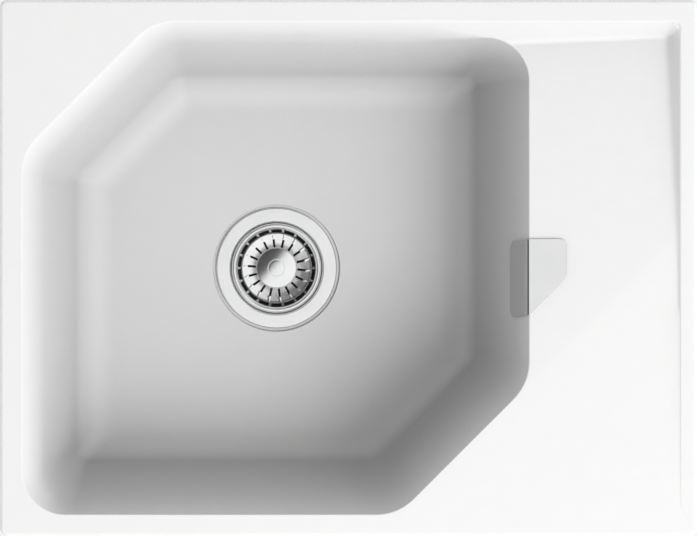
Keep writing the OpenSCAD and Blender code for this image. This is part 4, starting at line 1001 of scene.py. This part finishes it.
floor_mesh = bpy.data.meshes.new("floor")
floor_mesh.from_pydata([(x * GROUND_HALF, y * GROUND_HALF, GROUND_Z)
                        for x, y in ((-1, -1), (1, -1), (1, 1), (-1, 1))], [], [(0, 1, 2, 3)])
floor = bpy.data.objects.new("floor", floor_mesh)
scene.collection.objects.link(floor)
floor_mat = bpy.data.materials.new("pale_floor")
floor_mat.use_nodes = True
tree = floor_mat.node_tree
tree.nodes.clear()
seen = add(tree, "ShaderNodeLightPath").outputs
direct = calc(tree, "MAXIMUM", seen["Is Camera Ray"],
              calc(tree, "MAXIMUM", seen["Is Glossy Ray"], seen["Is Transmission Ray"]))
plain = add(tree, "ShaderNodeBsdfDiffuse", None, Color=(0.86, 0.86, 0.86, 1.0)).outputs[0]
glow = add(tree, "ShaderNodeEmission", None, Color=(1.0, 1.0, 1.0, 1.0), Strength=1.0).outputs[0]
glow_share = calc(tree, "MULTIPLY", direct, 0.72)
above = add(tree, "ShaderNodeMixShader", None, i0=glow_share, i1=plain, i2=glow).outputs[0]
clear = add(tree, "ShaderNodeBsdfTransparent").outputs[0]
under_side = add(tree, "ShaderNodeNewGeometry").outputs["Backfacing"]
both = add(tree, "ShaderNodeMixShader", None, i0=under_side, i1=above, i2=clear).outputs[0]
tree.links.new(both, add(tree, "ShaderNodeOutputMaterial").inputs["Surface"])
floor_mesh.materials.append(floor_mat)

# Sky: white to the camera, and brighter on the key lamp's side: gently for matt surfaces, which also get a
# bright band low on the other side, and strongly for metal
world = bpy.data.worlds.new("studio")
scene.world = world
world.use_nodes = True
tree = world.node_tree
tree.nodes.clear()
seen = add(tree, "ShaderNodeLightPath").outputs
way = add(tree, "ShaderNodeTexCoord").outputs["Generated"]
side = add(tree, "ShaderNodeVectorMath", {"operation": "DOT_PRODUCT"}, i0=way, i1=KEY_WAY).outputs["Value"]
low_band = mapped(tree, xyz_of(tree, way)[2], 0.0, 0.45, 1.1, 0.0, "SMOOTHSTEP")
low_band = calc(tree, "MULTIPLY", low_band, calc(tree, "MULTIPLY_ADD", side, -1.0, 0.4))
soft_sky = calc(tree, "ADD", calc(tree, "MULTIPLY_ADD", side, 0.55, 0.70), low_band)
soft_sky = calc(tree, "MAXIMUM", soft_sky, 0.05)
metal_sky = mapped(tree, side, -0.14, -0.02, 0.07, 1.0, "SMOOTHSTEP")
level = mixed(tree, "FLOAT", seen["Is Glossy Ray"], soft_sky, metal_sky)
through = calc(tree, "MAXIMUM", seen["Is Camera Ray"], seen["Is Transmission Ray"])
level = mixed(tree, "FLOAT", through, level, 1.0)
back = add(tree, "ShaderNodeBackground", None, Color=(1.0, 1.0, 1.0, 1.0), Strength=level)
tree.links.new(back.outputs[0], add(tree, "ShaderNodeOutputWorld").inputs["Surface"])


def lamp(name, place, size, power):
    """Square soft lamp at a place, turned to the origin."""
    data = bpy.data.lights.new(name, "AREA")
    data.shape, data.size, data.energy = "SQUARE", size, power
    obj = bpy.data.objects.new(name, data)
    obj.location = place
    obj.rotation_mode = "QUATERNION"
    obj.rotation_quaternion = (-Vector(place)).to_track_quat("-Z", "Y")
    scene.collection.objects.link(obj)
    return obj


# The high lamp lights the floor past the foot of the shaded walls. Metal mirrors the low one alone
lamp("key", (2.15, -2.15, 2.1), 1.6, 4.0)
lamp("high", (1.54, -1.54, 2.99), 1.3, 48.0).visible_glossy = False
